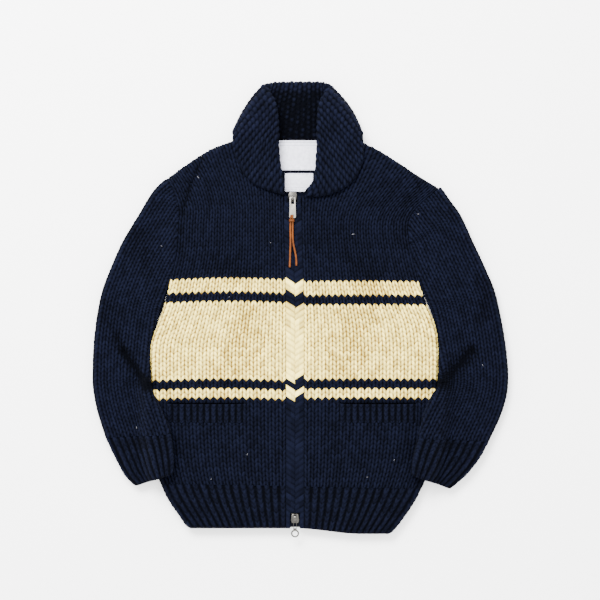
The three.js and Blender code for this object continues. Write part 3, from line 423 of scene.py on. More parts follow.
def knitted(name, material, chart, pattern, u_range, per_u, b_range, per_row, inside=None, facing=None,
            rim=None,
            rim_radius=3.0, rim_floor=0.22, cream=None, shadow=None, thickness=WALL, wale=11.5,
            spacing=15.0, offset=0.0):
    """A closed wall of knitting: a lattice of stitches on its outside and a plain surface inside.

    chart places (u, b) on the middle of the cloth, inside says how far within the outline a place is, facing is
    a place and the way its outside faces up (1) or down (-1), rim gives the distance to a rounded edge, cream
    says which rows are pale, and shadow darkens the hollows of folds.
    """
    height = pattern.row_height
    us = np.linspace(u_range[0], u_range[1], round((u_range[1] - u_range[0]) * per_u) + 1)
    first = math.floor((b_range[0] - offset) / height) - 1
    last = math.ceil((b_range[1] - offset) / height) + 1
    vs = np.arange(first * per_row, last * per_row + 1) / per_row
    if inside is None:
        vs = np.linspace((b_range[0] - offset) / height, (b_range[1] - offset) / height, len(vs))
    u, v = np.meshgrid(us, vs, indexing="ij")
    ends = crown((v - vs[0]) / (vs[-1] - vs[0]), 12) if inside is None else 1.0
    b = offset + v * height + pattern.shear(u) * ends
    if inside is None:
        kept = np.ones((len(us) - 1, len(vs) - 1), bool)
    else:
        kept = whole_cells(inside(u, b, chart(u, b)) > -0.02)
    count = np.zeros(u.shape, int)
    for di in (0, 1):
        for dj in (0, 1):
            count[di:di + kept.shape[0], dj:dj + kept.shape[1]] += kept
    edge = (count > 0) & (count < 4)
    shape_u, shape_v = u.copy(), v.copy()
    if inside is not None:
        settle_edge(u, b, chart, inside, wale, edge)
    middle = chart(u, b)
    normal = normals_of(chart, u, b)
    at = np.array([facing[0]]), np.array([facing[1]])
    turn = math.copysign(1.0, normals_of(chart, *at)[0, 2] * facing[2])
    normal = normal * turn
    round_off = np.ones(u.shape)
    if rim is not None:
        near = np.clip(rim(u, b, middle) / rim_radius, 0, 1)
        round_off = np.sqrt(1 - (1 - near) ** 2)
    half = thickness / 2 * (rim_floor + (1 - rim_floor) * round_off)
    relief = pattern.height(shape_u, shape_v) * (0.25 + 0.75 * round_off)
    relief = relief * (0.55 + 0.45 * np.abs(normal[..., 2])) - pattern.relief * 0.34 * np.clip(-normal[...,
            2], 0, 1)
    outer = middle + normal * (half + relief)[..., None]
    inner = middle - normal * half[..., None]
    outer[..., 2] = np.maximum(outer[..., 2], FLOOR_GAP)  # flat where it rests on the floor

    used = count > 0
    number = np.full(u.shape, -1)
    number[used] = np.arange(used.sum())
    corners = [number[:-1, :-1], number[1:, :-1], number[1:, 1:], number[:-1, 1:]]
    quads = np.stack([c[kept] for c in corners], axis=1)
    if turn < 0:
        quads = quads[:, ::-1]
    row_of_face = np.floor((vs[:-1] + vs[1:]) / 2)[None, :].repeat(len(us) - 1, 0)[kept]
    points = [outer[used]]
    uv = [np.stack([shape_u[used], shape_v[used]], axis=1)]
    # Painted shade: how deep a point lies in the stitch's hollows, which the wool darkens towards its crease
    # colour; a random tone for each stitch and any painted fold shadow are added.
    deep = np.clip(0.5 - pattern.height(shape_u, shape_v)[used] / pattern.relief, 0, 1)
    deep = deep + 0.16 * per_stitch(SEED + 4, 2 * shape_u, shape_v)[used]
    if shadow is not None:
        deep = deep + shadow(u, b, middle)[used]
    depth = [deep]
    lattice = np.stack(np.meshgrid(np.arange(len(us)) * wale / per_u, np.arange(len(vs)) * height / per_row,
                                   indexing="ij"), axis=-1)[used]

    loops = boundary_loops(quads)
    ring = [k for loop in loops for k in loop]
    far = np.zeros(u.shape, bool)
    every_u, every_v = max(2, round(spacing / wale * per_u)), max(2, round(spacing / height * per_row))
    far[every_u // 2::every_u, every_v // 2::every_v] = True
    deep_inside = without_rim(count == 4, 3)
    chosen = number[far & deep_inside & used]
    inner_ids = np.array(ring + chosen.tolist())
    constraints, start = [], 0
    for loop in loops:
        constraints += [(start + k, start + (k + 1) % len(loop)) for k in range(len(loop))]
        start += len(loop)
    flat_points = [Vector(p) for p in lattice[inner_ids].tolist()]
    _, _, triangles, origin, _, _ = delaunay_2d_cdt(flat_points, constraints, [], 1, 1e-5)
    base = len(points[0])
    lining = np.array([[origin[k][0] for k in triangle] for triangle in triangles])
    cell = np.floor(lattice[inner_ids[lining]].mean(axis=1) / (wale / per_u, height / per_row)).astype(int)
    lining = lining[kept[cell[:, 0], cell[:, 1]]]
    if turn > 0:
        lining = lining[:, ::-1]
    points.append(inner[used][inner_ids])
    uv.append(uv[0][inner_ids])
    depth.append(np.full(len(inner_ids), 0.5))
    lining = lining + base
    walls, start = [], base
    for loop in loops:
        n = len(loop)
        walls += [(loop[(k + 1) % n], loop[k], start + k, start + (k + 1) % n) for k in range(n)]
        start += n
    faces = quads.tolist() + lining.tolist() + walls
    obj = add_object(name, np.concatenate(points), faces, material)
    mesh = obj.data
    all_uv, all_depth = np.concatenate(uv), np.concatenate(depth)
    layer = mesh.uv_layers.new(name="Stitches")
    at_loop = np.zeros(len(mesh.loops), int)
    mesh.loops.foreach_get("vertex_index", at_loop)
    layer.data.foreach_set("uv", all_uv[at_loop].ravel())
    # The depth attribute holds the painted crease and fold shade with the random stitch tone.
    attribute = mesh.attributes.new("depth", "FLOAT", "POINT")
    attribute.data.foreach_set("value", all_depth)
    if cream is not None:
        shown = cream(row_of_face)
        tail = cream(np.floor(all_uv[[f[0] for f in faces[len(quads):]], 1]))
        stripes = mesh.attributes.new("cream", "FLOAT", "FACE")
        stripes.data.foreach_set("value", np.concatenate([shown, tail]).astype(float))
    return obj


def without_rim(mask, times):
    """A mask without its outermost cells."""
    for _ in range(times):
        smaller = mask.copy()
        smaller[1:] &= mask[:-1]
        smaller[:-1] &= mask[1:]
        smaller[:, 1:] &= mask[:, :-1]
        smaller[:, :-1] &= mask[:, 1:]
        smaller[0] = smaller[-1] = False
        smaller[:, 0] = smaller[:, -1] = False
        mask = smaller
    return mask


# ---- The body's outline ----
def zip_x(y):
    return ZIP["low_x"] + ZIP["lean"] * smoothstep(ZIP["from"], ZIP["from"] + ZIP["over"], y)


def side_x(side, y):
    return side * read_table(BODY_SIDES, "y", SIDE_NAMES[side], y)


def band_edge_x(side, y):
    return zip_x(y) + side * (BAND["outer"] + BAND["inner"] + SEAM)


def hem_top_y(x):
    share = smoothstep(float(side_x(LEFT, 0)), float(side_x(RIGHT, 0)), x)
    return mix(HEM_TOP["left"], HEM_TOP["right"], share)


def hem_bottom_y(x):
    share = smoothstep(HEM_BOTTOM["step_from"], HEM_BOTTOM["step_to"], x)
    return mix(HEM_BOTTOM["left"], HEM_BOTTOM["right"], share)


def shoulder_y(side, x):
    return read_table(SHOULDERS[SIDE_NAMES[side]], "out", "y", np.abs(x))


def front_top_y(side, x):
    neck_x = side * NECK_POINT[SIDE_NAMES[side]]
    start = float(band_edge_x(side, NECK_FRONT))
    t = np.clip((x - start) / (neck_x - start), 0, 1)
    neckline = NECK_FRONT + (NECK_POINT["y"] - NECK_FRONT) * t**NECK_CURVE
    return np.where(side * x >= side * neck_x, shoulder_y(side, x), neckline)


def back_top_y(x):
    left, right = NECK_POINT["left"], NECK_POINT["right"]
    across = np.clip((x + left) / (left + right), 0, 1)
    neckline = NECK_POINT["y"] - BACK_NECK_DROP * 4 * across * (1 - across)
    shoulders = np.where(x < 0, shoulder_y(LEFT, x), shoulder_y(RIGHT, x))
    return np.where((x <= -left) | (x >= right), shoulders, neckline)


def from_slot(side, x, y):
    """Distance outside the pocket's slot, negative inside it."""
    low_x, high_x = POCKETS[SIDE_NAMES[side]]
    out_x = np.maximum(low_x - x, x - high_x)
    out_y = np.maximum(POCKET["slot_bottom"] - y, y - POCKET["slot_top"])
    outside = np.hypot(np.maximum(out_x, 0), np.maximum(out_y, 0))
    return np.where((out_x > 0) | (out_y > 0), outside, np.maximum(out_x, out_y))


class BodyPanel:
    """Places a front or the back: u counts columns from the middle or the left, b is height in mm."""

    TOP_ARC = 11.4

    def __init__(self, side, columns, fold_columns, bow=0.0):
        self.side, self.columns, self.fold_columns, self.bow = side, columns, fold_columns, bow
        low = -fold_columns if side is None else 0
        self.samples = np.linspace(low, columns + fold_columns, 320)
        below, above = np.full(320, -420.0), np.full(320, 420.0)
        for _ in range(30):
            half = (below + above) / 2
            x = self.column_x(self.samples, half, FOLD)
            top = back_top_y(x) if side is None else front_top_y(side, x)
            under = half < top
            below, above = np.where(under, half, below), np.where(under, above, half)
        self.highs = below

    def column(self, u):
        share = np.clip(u / self.columns, 0, 1)
        beyond = np.maximum(u - self.columns, -u) if self.side is None else u - self.columns
        turn = np.clip(beyond / self.fold_columns, 0, 1)
        side = np.where(share < 0.5, LEFT, RIGHT) if self.side is None else self.side
        return share, turn, side

    def column_x(self, u, y, radius):
        share, turn, side = self.column(u)
        if self.side is None:
            edge = mix(side_x(LEFT, y) + FOLD, side_x(RIGHT, y) - FOLD, share)
        else:
            edge = mix(band_edge_x(self.side, y), side_x(self.side, y) - self.side * FOLD, share)
        folded = 1 - smoothstep(UNDERARM - ARMHOLE_BLEND, UNDERARM, y)
        return edge + side * mix(FOLD * turn, radius * np.sin(turn * math.pi / 2), folded)

    def top(self, u):
        return np.interp(u, self.samples, self.highs) - FOLD

    def __call__(self, u, b):
        share, turn, side = self.column(u)
        top = self.top(u)
        high_x = self.column_x(u, top + FOLD, FOLD)
        neck = np.where(side == LEFT, NECK_POINT["left"], NECK_POINT["right"])
        shoulder = smoothstep(0, SHOULDER_BLEND, np.abs(high_x) - neck)
        level_b = b + self.bow * (1 - (2 * share - 1) ** 2)
        over = np.clip((level_b - top) / self.TOP_ARC, 0, 1)
        radius = MIDDLE_FOLD
        up = mix(FOLD * over, radius * np.sin(over * math.pi / 2), shoulder)
        y = np.minimum(level_b, top) + up
        x = self.column_x(u, y, radius)
        folded = 1 - smoothstep(UNDERARM - ARMHOLE_BLEND, UNDERARM, y)
        drop_side = folded * (1 - np.cos(turn * math.pi / 2))
        drop_top = shoulder * (1 - np.cos(over * math.pi / 2))
        level = (1 - drop_side) * (1 - drop_top)
        half = SEAM / 2
        z = FOLD + half + (radius - half) * level
        if self.side is None:
            z = LAYERS - z
        else:
            z = z - fold_depth(FRONT_FOLDS, x, y) * level
            z = z + level * (0.7 * soft_noise(SEED, x, y, 70) - 0.3)
        return np.stack([x, y, z], axis=-1)

    def room_above_hem(self, place):
        return place[..., 1] - (hem_top_y(place[..., 0]) - 1.2)

    def room_at_armhole(self, place):
        x, y = place[..., 0], place[..., 1]
        side = np.where(x < 0, LEFT, RIGHT) if self.side is None else self.side
        edge = np.where(side == LEFT, side_x(LEFT, y), side_x(RIGHT, y))
        return np.where(y > UNDERARM, side * (edge - x) + 0.5, 1e3)

    def room_below_top(self, u, b):
        share, _, _ = self.column(u)
        level_b = b + self.bow * (1 - (2 * share - 1) ** 2)
        return self.top(u) + self.TOP_ARC - level_b

    def room_at_bottom(self, place):
        return place[..., 1] - hem_bottom_y(place[..., 0])

    def room_in_hem(self, place):
        return np.minimum(self.room_at_bottom(place), hem_top_y(place[..., 0]) - SEAM / 2 - place[..., 1])


# ---- Sleeves and cuffs ----
ARC = MIDDLE_FOLD * math.pi / 2


def climb_height(side, x, y, climb):
    inside = side * (side_x(side, y) - x)
    return climb * (LAYERS + CLIMB["clearance"]) * smoothstep(CLIMB["from"], CLIMB["to"], inside)


def round_the_tube(around, width):
    """Distance in from the outer edge and height above the middle, at a place round a flat tube."""
    flat = np.maximum(width - 2 * FOLD, 0.1)
    far = np.abs(around)
    first = np.clip(far / MIDDLE_FOLD, 0, math.pi / 2)
    along = np.clip(far - ARC, 0, flat)
    second = np.clip((far - ARC - flat) / MIDDLE_FOLD, 0, math.pi / 2)
    inward = FOLD - MIDDLE_FOLD * np.cos(first) + along + MIDDLE_FOLD * np.sin(second)
    up = MIDDLE_FOLD * np.sin(first) * np.cos(second) * np.sign(around)
    return inward, up


class Sleeve:
    """Places a sleeve: u counts columns round the tube from its outer edge, b runs down that edge in mm."""

    PAST = 1.3  # rows of the table that the silhouette goes on past the wrist

    def __init__(self, side, wale):
        self.side, self.wale = side, wale
        rows = SLEEVES[SIDE_NAMES[side]]
        k = np.linspace(0, len(rows) - 1 + self.PAST, 420)
        x, y = read_by_row(rows, "outer_x", k), read_by_row(rows, "outer_y", k)
        self.down = np.concatenate([[0], np.cumsum(np.hypot(np.diff(x), np.diff(y)))])
        tangent_x, tangent_y = np.gradient(x, self.down), np.gradient(y, self.down)
        scale = np.hypot(tangent_x, tangent_y)
        self.x, self.y, self.in_x, self.in_y = x, y, tangent_y / scale, -tangent_x / scale
        self.width = self.smooth(self.reach_in(rows))
        self.climb = np.interp(k, np.arange(len(rows)), [row["climb"] for row in rows])
        first, last = rows[-1]["outer_x"], rows[-1]["outer_y"]
        self.wrist = np.array([first, last])
        across = np.array([rows[-1]["inner_x"] - first, rows[-1]["inner_y"] - last])
        self.wrist_up = np.array([across[1], -across[0]]) / np.hypot(*across)
        self.length = self.down[-1]

    @staticmethod
    def smooth(values, reach=17):
        padded = np.pad(values, reach, mode="edge")
        return np.convolve(padded, np.ones(2 * reach + 1) / (2 * reach + 1), mode="valid")

    def reach_in(self, rows):
        """Width of the sleeve square to its outer edge, up to its inner edge."""
        line = [(60.0, 330.0), (60.0, 75.0)]
        for k, row in enumerate(rows):
            x, y = row["inner_x"], row["inner_y"]
            if k > 1 and row["climb"] == 0:
                x = max(x, float(side_x(RIGHT, y) if self.side == RIGHT else -side_x(LEFT, y)) + 1.2)
            line.append((x, y))
        before, end = line[-2], line[-1]
        line.append((end[0] + 3 * (end[0] - before[0]), end[1] + 3 * (end[1] - before[1])))
        best = np.full(len(self.x), 400.0)
        for (ax, ay), (bx, by) in zip(line[:-1], line[1:]):
            ex, ey = bx - ax, by - ay
            cross = self.in_x * ey - self.in_y * ex
            cross = np.where(np.abs(cross) < 1e-9, 1e-9, cross)
            t = ((ax - self.x) * ey - (ay - self.y) * ex) / cross
            s = ((ax - self.x) * self.in_y - (ay - self.y) * self.in_x) / cross
            hit = (t > 20) & (s >= -0.001) & (s <= 1.001)
            best = np.where(hit, np.minimum(best, t), best)
        return np.minimum(best, 260)

    def at(self, values, b):
        return np.interp(b, self.down, values)

    def half_round(self, b):
        return self.at(self.width, b) - 2 * FOLD + 2 * ARC

    def __call__(self, u, b):
        inward, up = round_the_tube(u * self.wale, self.at(self.width, b))
        x = self.side * (self.at(self.x, b) + self.at(self.in_x, b) * inward)
        y = self.at(self.y, b) + self.at(self.in_y, b) * inward
        z = FOLD + up + climb_height(self.side, x, y, self.at(self.climb, b))
        top = np.clip(up / MIDDLE_FOLD, 0, 1)
        z = z - top * fold_depth(SLEEVE_FOLDS, x, y) + top * 0.9 * soft_noise(SEED + 5, x, y, 60)
        return np.stack([x, y, z], axis=-1)

    def room_beside_body(self, place):
        x, y = place[..., 0], place[..., 1]
        beside = self.side * (x - side_x(self.side, y)) + 0.3
        return np.where(y > UNDERARM - 6, beside, 1e3)

    def room_above_wrist(self, place):
        x, y = self.side * place[..., 0], place[..., 1]
        return (x - self.wrist[0]) * self.wrist_up[0] + (y - self.wrist[1]) * self.wrist_up[1] + 1.8

    def room(self, u, b, place):
        seam = self.half_round(b) - 0.5 - np.abs(u) * self.wale
        return np.minimum(np.minimum(seam, self.room_beside_body(place)), self.room_above_wrist(place))


class Cuff:
    """Places a cuff: u counts columns round the tube from its outer edge, b runs towards the hand in mm."""

    def __init__(self, side, columns):
        self.side, self.columns = side, columns
        self.rows = CUFFS[SIDE_NAMES[side]]
        k = np.linspace(0, len(self.rows) - 1, 60)
        x = (read_by_row(self.rows, "outer_x", k) + read_by_row(self.rows, "inner_x", k)) / 2
        y = (read_by_row(self.rows, "outer_y", k) + read_by_row(self.rows, "inner_y", k)) / 2
        self.k, self.down = k, np.concatenate([[0], np.cumsum(np.hypot(np.diff(x), np.diff(y)))])
        self.length = self.down[-1]

    def __call__(self, u, b):
        k = np.interp(b, self.down, self.k)
        ends = [read_by_row(self.rows, name, k) for name in ("outer_x", "outer_y", "inner_x", "inner_y")]
        outer_x, outer_y, inner_x, inner_y = ends
        width = np.hypot(inner_x - outer_x, inner_y - outer_y)
        half = width - 2 * FOLD + 2 * ARC - 0.4
        inward, up = round_the_tube(u / self.columns * half, width)
        share = inward / width
        x = self.side * mix(outer_x, inner_x, share)
        y = mix(outer_y, inner_y, share)
        z = FOLD + up + climb_height(self.side, x, y, 1.0)
        return np.stack([x, y, z], axis=-1)


# ---- Collar ----
class Collar:
    """Places the collar: u counts ridges from the left end, b runs from the roll to the free edge in mm."""

    def __init__(self, ridge):
        left = [{**row, **level} for row, level in zip(COLLAR["left"], COLLAR_LEVELS)]
        right = [{**row, **level} for row, level in zip(COLLAR["right"], COLLAR_LEVELS)]
        self.rows = left + right[::-1]
        self.middle = len(left) - 0.5
        t = np.linspace(0, len(self.rows) - 1, 500)
        over, free = self.parts(t)[3:5]
        way = (over + free) / 2
        steps = np.linalg.norm(np.diff(way, axis=0), axis=1)
        run = np.concatenate([[0], np.cumsum(steps)])
        self.ridges = round(run[-1] / ridge)
        self.t, self.u = t, run / run[-1] * self.ridges

    def parts(self, t):
        read = {name: read_by_row(self.rows, name, t) for name in self.rows[0]}
        point = lambda end: np.stack([read[f"{end}_x"], read[f"{end}_y"], read[f"{end}_z"]], axis=-1)
        base, roll, free = point("base"), point("roll"), point("free")
        rise = (roll - base) * np.array([1.0, 1.0, 0.0])
        rise = unit(rise)
        side = np.where(t < self.middle, 1.0, -1.0)[..., None]
        sideways = np.stack([-rise[..., 1], rise[..., 0], np.zeros_like(t)], axis=-1) * side
        face = np.radians(read["face"])[..., None]
        facing = sideways * np.sin(face) + np.array([0.0, 0.0, 1.0]) * np.cos(face)
        under, over = roll - facing * ROLL_RADIUS, roll + facing * ROLL_RADIUS
        return base, roll, under, over, free, rise, facing, face

    def reach(self, u):
        base, _, under, over, free = self.parts(np.interp(u, self.u, self.t))[:5]
        arc = ROLL_RADIUS * math.pi / 2
        stand = np.linalg.norm(under - base, axis=-1) + arc
        return stand, np.linalg.norm(free - over, axis=-1) + arc

    def __call__(self, u, b):
        t = np.interp(u, self.u, self.t)
        base, roll, under, over, free, rise, facing, face = self.parts(t)
        arc = ROLL_RADIUS * math.pi / 2
        angle = (np.clip(b / arc, -1, 1) + 1)[..., None] * math.pi / 2
        place = roll - facing * ROLL_RADIUS * np.cos(angle) + rise * ROLL_RADIUS * np.sin(angle)
        out, back = np.maximum(b - arc, 0)[..., None], np.maximum(-b - arc, 0)[..., None]
        place = place + unit(free - over) * out + unit(base - under) * back
        fall = np.linalg.norm(free - over, axis=-1)[..., None]
        puff = (2.2 + 3.6 * np.sin(np.clip(face, 0, math.pi))) * np.sin(np.clip(out / np.maximum(fall, 1),
                0, 1) * math.pi)
        wave = 1.2 * soft_noise(SEED + 9, place[..., 0], place[..., 1], 38)[..., None] * np.clip(out / 20,
                0, 1)
        return place + facing * (puff + wave)

    def room(self, u, b, place):
        stand, fall = self.reach(u)
        return np.minimum(b + stand + 5, fall - b)


# ---- Materials ----
class Nodes:
    """Adds nodes to one tree and joins them in the same call."""

    def __init__(self, tree):
        self.tree = tree

    def add(self, kind, settings=None, **inputs):
        node = self.tree.nodes.new(kind)
        for name, value in (settings or {}).items():
            setattr(node, name, value)
        for name, value in inputs.items():
            key = int(name[1:]) if name[0] == "_" else name.replace("_", " ")
            socket = node.inputs[key]
            if isinstance(value, bpy.types.NodeSocket):
                self.tree.links.new(value, socket)
            else:
                socket.default_value = value
        return node

    def math(self, operation, *values):
        return self.add("ShaderNodeMath", {"operation": operation},
                        **{f"_{k}": value for k, value in enumerate(values)}).outputs[0]

    def ramp(self, value, low, high, to_low=0.0, to_high=1.0):
        return self.add("ShaderNodeMapRange", {}, _0=value, _1=low, _2=high, _3=to_low,
                        _4=to_high).outputs[0]

    def mix(self, factor, a, b):
        node = self.add("ShaderNodeMix", {"data_type": "RGBA"})
        for socket, value in ((node.inputs[0], factor), (node.inputs[6], a), (node.inputs[7], b)):
            if isinstance(value, bpy.types.NodeSocket):
                self.tree.links.new(value, socket)
            else:
                socket.default_value = value
        return node.outputs[2]


def shader_group(name, inputs, outputs):
    """An empty shader group with named sockets, and the two nodes that hold them."""
    tree = bpy.data.node_groups.new(name, "ShaderNodeTree")
    for label, kind, value in inputs:
        socket = tree.interface.new_socket(name=label, in_out="INPUT", socket_type=kind)
        if value is not None:
            socket.default_value = value
    for label, kind in outputs:
        tree.interface.new_socket(name=label, in_out="OUTPUT", socket_type=kind)
    return tree, tree.nodes.new("NodeGroupInput"), tree.nodes.new("NodeGroupOutput")


def yarn_group():
    """Plies twisted round each leg of a stitch, loose fibres, small random differences of tone and painted
    shade in the grooves between plies.
    """
    tree, given, result = shader_group(
        "Yarn",
        [("Stitch", "NodeSocketVector", None), ("Place", "NodeSocketVector", None),
         ("Plies", "NodeSocketFloat", 3.0), ("Fibre Size", "NodeSocketFloat", 900.0)],
        [("Height", "NodeSocketFloat"), ("Shade", "NodeSocketFloat"), ("Fibre", "NodeSocketFloat")],
    )
    n = Nodes(tree)
    split = n.add("ShaderNodeSeparateXYZ", Vector=given.outputs["Stitch"])
    leg = n.math("MULTIPLY", split.outputs[0], 2.0)
    parity = n.math("PINGPONG", n.math("FLOOR", leg), 1.0)
    slant = n.math("MULTIPLY_ADD", parity, -2.0, 1.0)
    across = n.math("MULTIPLY", n.math("FRACT", leg), slant)
    twist = n.add("ShaderNodeTexNoise", {}, Vector=given.outputs["Place"], Scale=160.0, Detail=2.0)
    wander = n.math("MULTIPLY", twist.outputs[0], 0.9)
    turn = n.math("ADD", n.math("MULTIPLY_ADD", across, 1.6, split.outputs[1]), wander)
    ply = n.math("SINE", n.math("MULTIPLY", turn, n.math("MULTIPLY", given.outputs["Plies"], 2 * math.pi)))
    fibres = n.add("ShaderNodeTexNoise", {}, Vector=given.outputs["Place"],
                   Scale=given.outputs["Fibre Size"], Detail=4.0, Roughness=0.7)
    cloud = n.add("ShaderNodeTexNoise", {}, Vector=given.outputs["Place"], Scale=45.0, Detail=3.0)
    height = n.math("ADD", n.math("MULTIPLY", ply, 0.35), n.math("MULTIPLY", fibres.outputs[0], 1.1))
    tree.links.new(height, result.inputs["Height"])
    # Shade is random tone from the cloud noise plus painted shade that darkens the grooves between plies.
    shade = n.math("ADD", n.math("MULTIPLY", cloud.outputs[0], 0.5), n.math("MULTIPLY", ply, 0.09))
    tree.links.new(shade, result.inputs["Shade"])
    tree.links.new(fibres.outputs[0], result.inputs["Fibre"])
    return tree


def weave_group():
    """A fine plain weave on object coordinates."""
    tree, given, result = shader_group(
        "Weave", [("Place", "NodeSocketVector", None), ("Threads", "NodeSocketFloat", 1800.0)],
        [("Height", "NodeSocketFloat"), ("Shade", "NodeSocketFloat")],
    )
    n = Nodes(tree)
    split = n.add("ShaderNodeSeparateXYZ", Vector=given.outputs["Place"])
    waves = [n.math("SINE", n.math("MULTIPLY", split.outputs[k], given.outputs["Threads"])) for k in (0, 1)]
    noise = n.add("ShaderNodeTexNoise", {}, Vector=given.outputs["Place"], Scale=220.0, Detail=3.0)
    tree.links.new(n.math("MULTIPLY", waves[0], waves[1]), result.inputs["Height"])
    tree.links.new(n.math("MULTIPLY_ADD", noise.outputs[0], 0.6, 0.7), result.inputs["Shade"])
    return tree


def wear_group():
    """Small scratches and dull patches on metal and leather."""
    tree, given, result = shader_group(
        "Wear", [("Place", "NodeSocketVector", None), ("Scale", "NodeSocketFloat", 300.0)],
        [("Dull", "NodeSocketFloat"), ("Height", "NodeSocketFloat"), ("Spot", "NodeSocketFloat")],
    )
    n = Nodes(tree)
    stretched = n.add("ShaderNodeMapping", {}, Vector=given.outputs["Place"], Scale=(6.0, 1.0, 3.0))
    scratch = n.add("ShaderNodeTexNoise", {}, Vector=stretched.outputs[0], Scale=given.outputs["Scale"],
                    Detail=5.0)
    cloud = n.add("ShaderNodeTexNoise", {}, Vector=given.outputs["Place"], Scale=90.0, Detail=4.0)
    tree.links.new(n.ramp(scratch.outputs[0], 0.35, 0.75), result.inputs["Dull"])
    tree.links.new(scratch.outputs[0], result.inputs["Height"])
    tree.links.new(n.ramp(cloud.outputs[0], 0.35, 0.7), result.inputs["Spot"])
    return tree


def group(name, make):
    return bpy.data.node_groups.get(name) or make()


def new_material(name):
    material = bpy.data.materials.new(name)
    material.use_nodes = True
    tree = material.node_tree
    shader = tree.nodes["Principled BSDF"]
    return material, Nodes(tree), shader


def rgba(colour):
    return (*colour, 1.0)


def wool(name, colours, striped=False, plies=3.0, sheen=0.004):
    """Hairy woollen yarn. colours holds the face and the painted crease shade of navy, then of cream."""
    if name in bpy.data.materials:
        return bpy.data.materials[name]
    material, n, shader = new_material(name)
    stitch = n.add("ShaderNodeUVMap", {"uv_map": "Stitches"}).outputs[0]
    place = n.add("ShaderNodeTexCoord").outputs["Object"]
    yarn = n.add("ShaderNodeGroup", {"node_tree": group("Yarn", yarn_group)}, Stitch=stitch, Place=place,
                 Plies=plies)
    # Painted shade: the depth attribute mixes each yarn colour towards its darker crease colour in the hollows
    # between stitches.
    depth = n.add("ShaderNodeAttribute", {"attribute_name": "depth"}).outputs["Fac"]
    crease = n.ramp(depth, 0.15, 0.88)
    colour = n.mix(crease, rgba(colours[0]), rgba(colours[1]))
    if striped:
        cream = n.add("ShaderNodeAttribute", {"attribute_name": "cream"}).outputs["Fac"]
        pale = n.mix(crease, rgba(colours[2]), rgba(colours[3]))
        colour = n.mix(cream, colour, pale)
    shaded = n.ramp(yarn.outputs["Shade"], 0.1, 0.4, 0.72, 1.1)
    tint = n.add("ShaderNodeVectorMath", {"operation": "SCALE"}, _0=colour, Scale=shaded).outputs[0]
    bump = n.add("ShaderNodeBump", {}, Height=yarn.outputs["Height"], Strength=0.55, Distance=0.0009)
    n.tree.links.new(tint, shader.inputs["Base Color"])
    n.tree.links.new(bump.outputs[0], shader.inputs["Normal"])
    n.tree.links.new(n.ramp(yarn.outputs["Fibre"], 0.3, 0.7, 0.85, 1.0), shader.inputs["Roughness"])
    shader.inputs["Specular IOR Level"].default_value = 0.02
    shader.inputs["Sheen Weight"].default_value = sheen
    shader.inputs["Sheen Roughness"].default_value = 0.6
    shader.inputs["Sheen Tint"].default_value = (0.55, 0.65, 1.0, 1.0)
    return material


def woven(name, colour, threads=1800.0, roughness=0.75, line=None):
    """A fine woven tape or label, with thin lines across it where line gives their colour."""
    material, n, shader = new_material(name)
    place = n.add("ShaderNodeTexCoord").outputs["Object"]
    weave = n.add("ShaderNodeGroup", {"node_tree": group("Weave", weave_group)}, Place=place,
                  Threads=threads)
    base = n.add("ShaderNodeRGB")
    base.outputs[0].default_value = rgba(colour)
    shown = base.outputs[0]
    if line is not None:
        mark = n.add("ShaderNodeAttribute", {"attribute_name": "line"}).outputs["Fac"]
        shown = n.mix(mark, shown, rgba(line))
    tint = n.add("ShaderNodeVectorMath", {"operation": "SCALE"}, _0=shown,
                 Scale=weave.outputs["Shade"]).outputs[0]
    n.tree.links.new(tint, shader.inputs["Base Color"])
    bump = n.add("ShaderNodeBump", {}, Height=weave.outputs["Height"], Strength=0.3, Distance=0.0002)
    n.tree.links.new(bump.outputs[0], shader.inputs["Normal"])
    shader.inputs["Roughness"].default_value = roughness
    shader.inputs["Specular IOR Level"].default_value = 0.08
    return material


def metal(name, colour, roughness=0.2):
    material, n, shader = new_material(name)
    place = n.add("ShaderNodeTexCoord").outputs["Object"]
    wear = n.add("ShaderNodeGroup", {"node_tree": group("Wear", wear_group)}, Place=place, Scale=500.0)
    dark = tuple(0.3 * c for c in colour)
    n.tree.links.new(n.mix(n.math("MULTIPLY", wear.outputs["Spot"], 0.5), rgba(colour), rgba(dark)),
                     shader.inputs["Base Color"])
    n.tree.links.new(n.ramp(wear.outputs["Dull"], 0.0, 1.0, roughness, roughness + 0.25),
                     shader.inputs["Roughness"])
    bump = n.add("ShaderNodeBump", {}, Height=wear.outputs["Height"], Strength=0.12, Distance=0.0002)
    n.tree.links.new(bump.outputs[0], shader.inputs["Normal"])
    shader.inputs["Metallic"].default_value = 1.0
    return material


def leather(name, colour):
    material, n, shader = new_material(name)
    place = n.add("ShaderNodeTexCoord").outputs["Object"]
    wear = n.add("ShaderNodeGroup", {"node_tree": group("Wear", wear_group)}, Place=place, Scale=260.0)
    grain = n.add("ShaderNodeTexVoronoi", {}, Vector=place, Scale=900.0)
    pale = tuple(min(1.0, 1.7 * c) for c in colour)
    shader.inputs["Specular IOR Level"].default_value = 0.1
    n.tree.links.new(n.mix(wear.outputs["Spot"], rgba(colour), rgba(pale)), shader.inputs["Base Color"])
    n.tree.links.new(n.ramp(wear.outputs["Dull"], 0.0, 1.0, 0.45, 0.7), shader.inputs["Roughness"])
    height = n.math("ADD", grain.outputs["Distance"], wear.outputs["Height"])
    bump = n.add("ShaderNodeBump", {}, Height=height, Strength=0.35, Distance=0.0003)
    n.tree.links.new(bump.outputs[0], shader.inputs["Normal"])
    return material


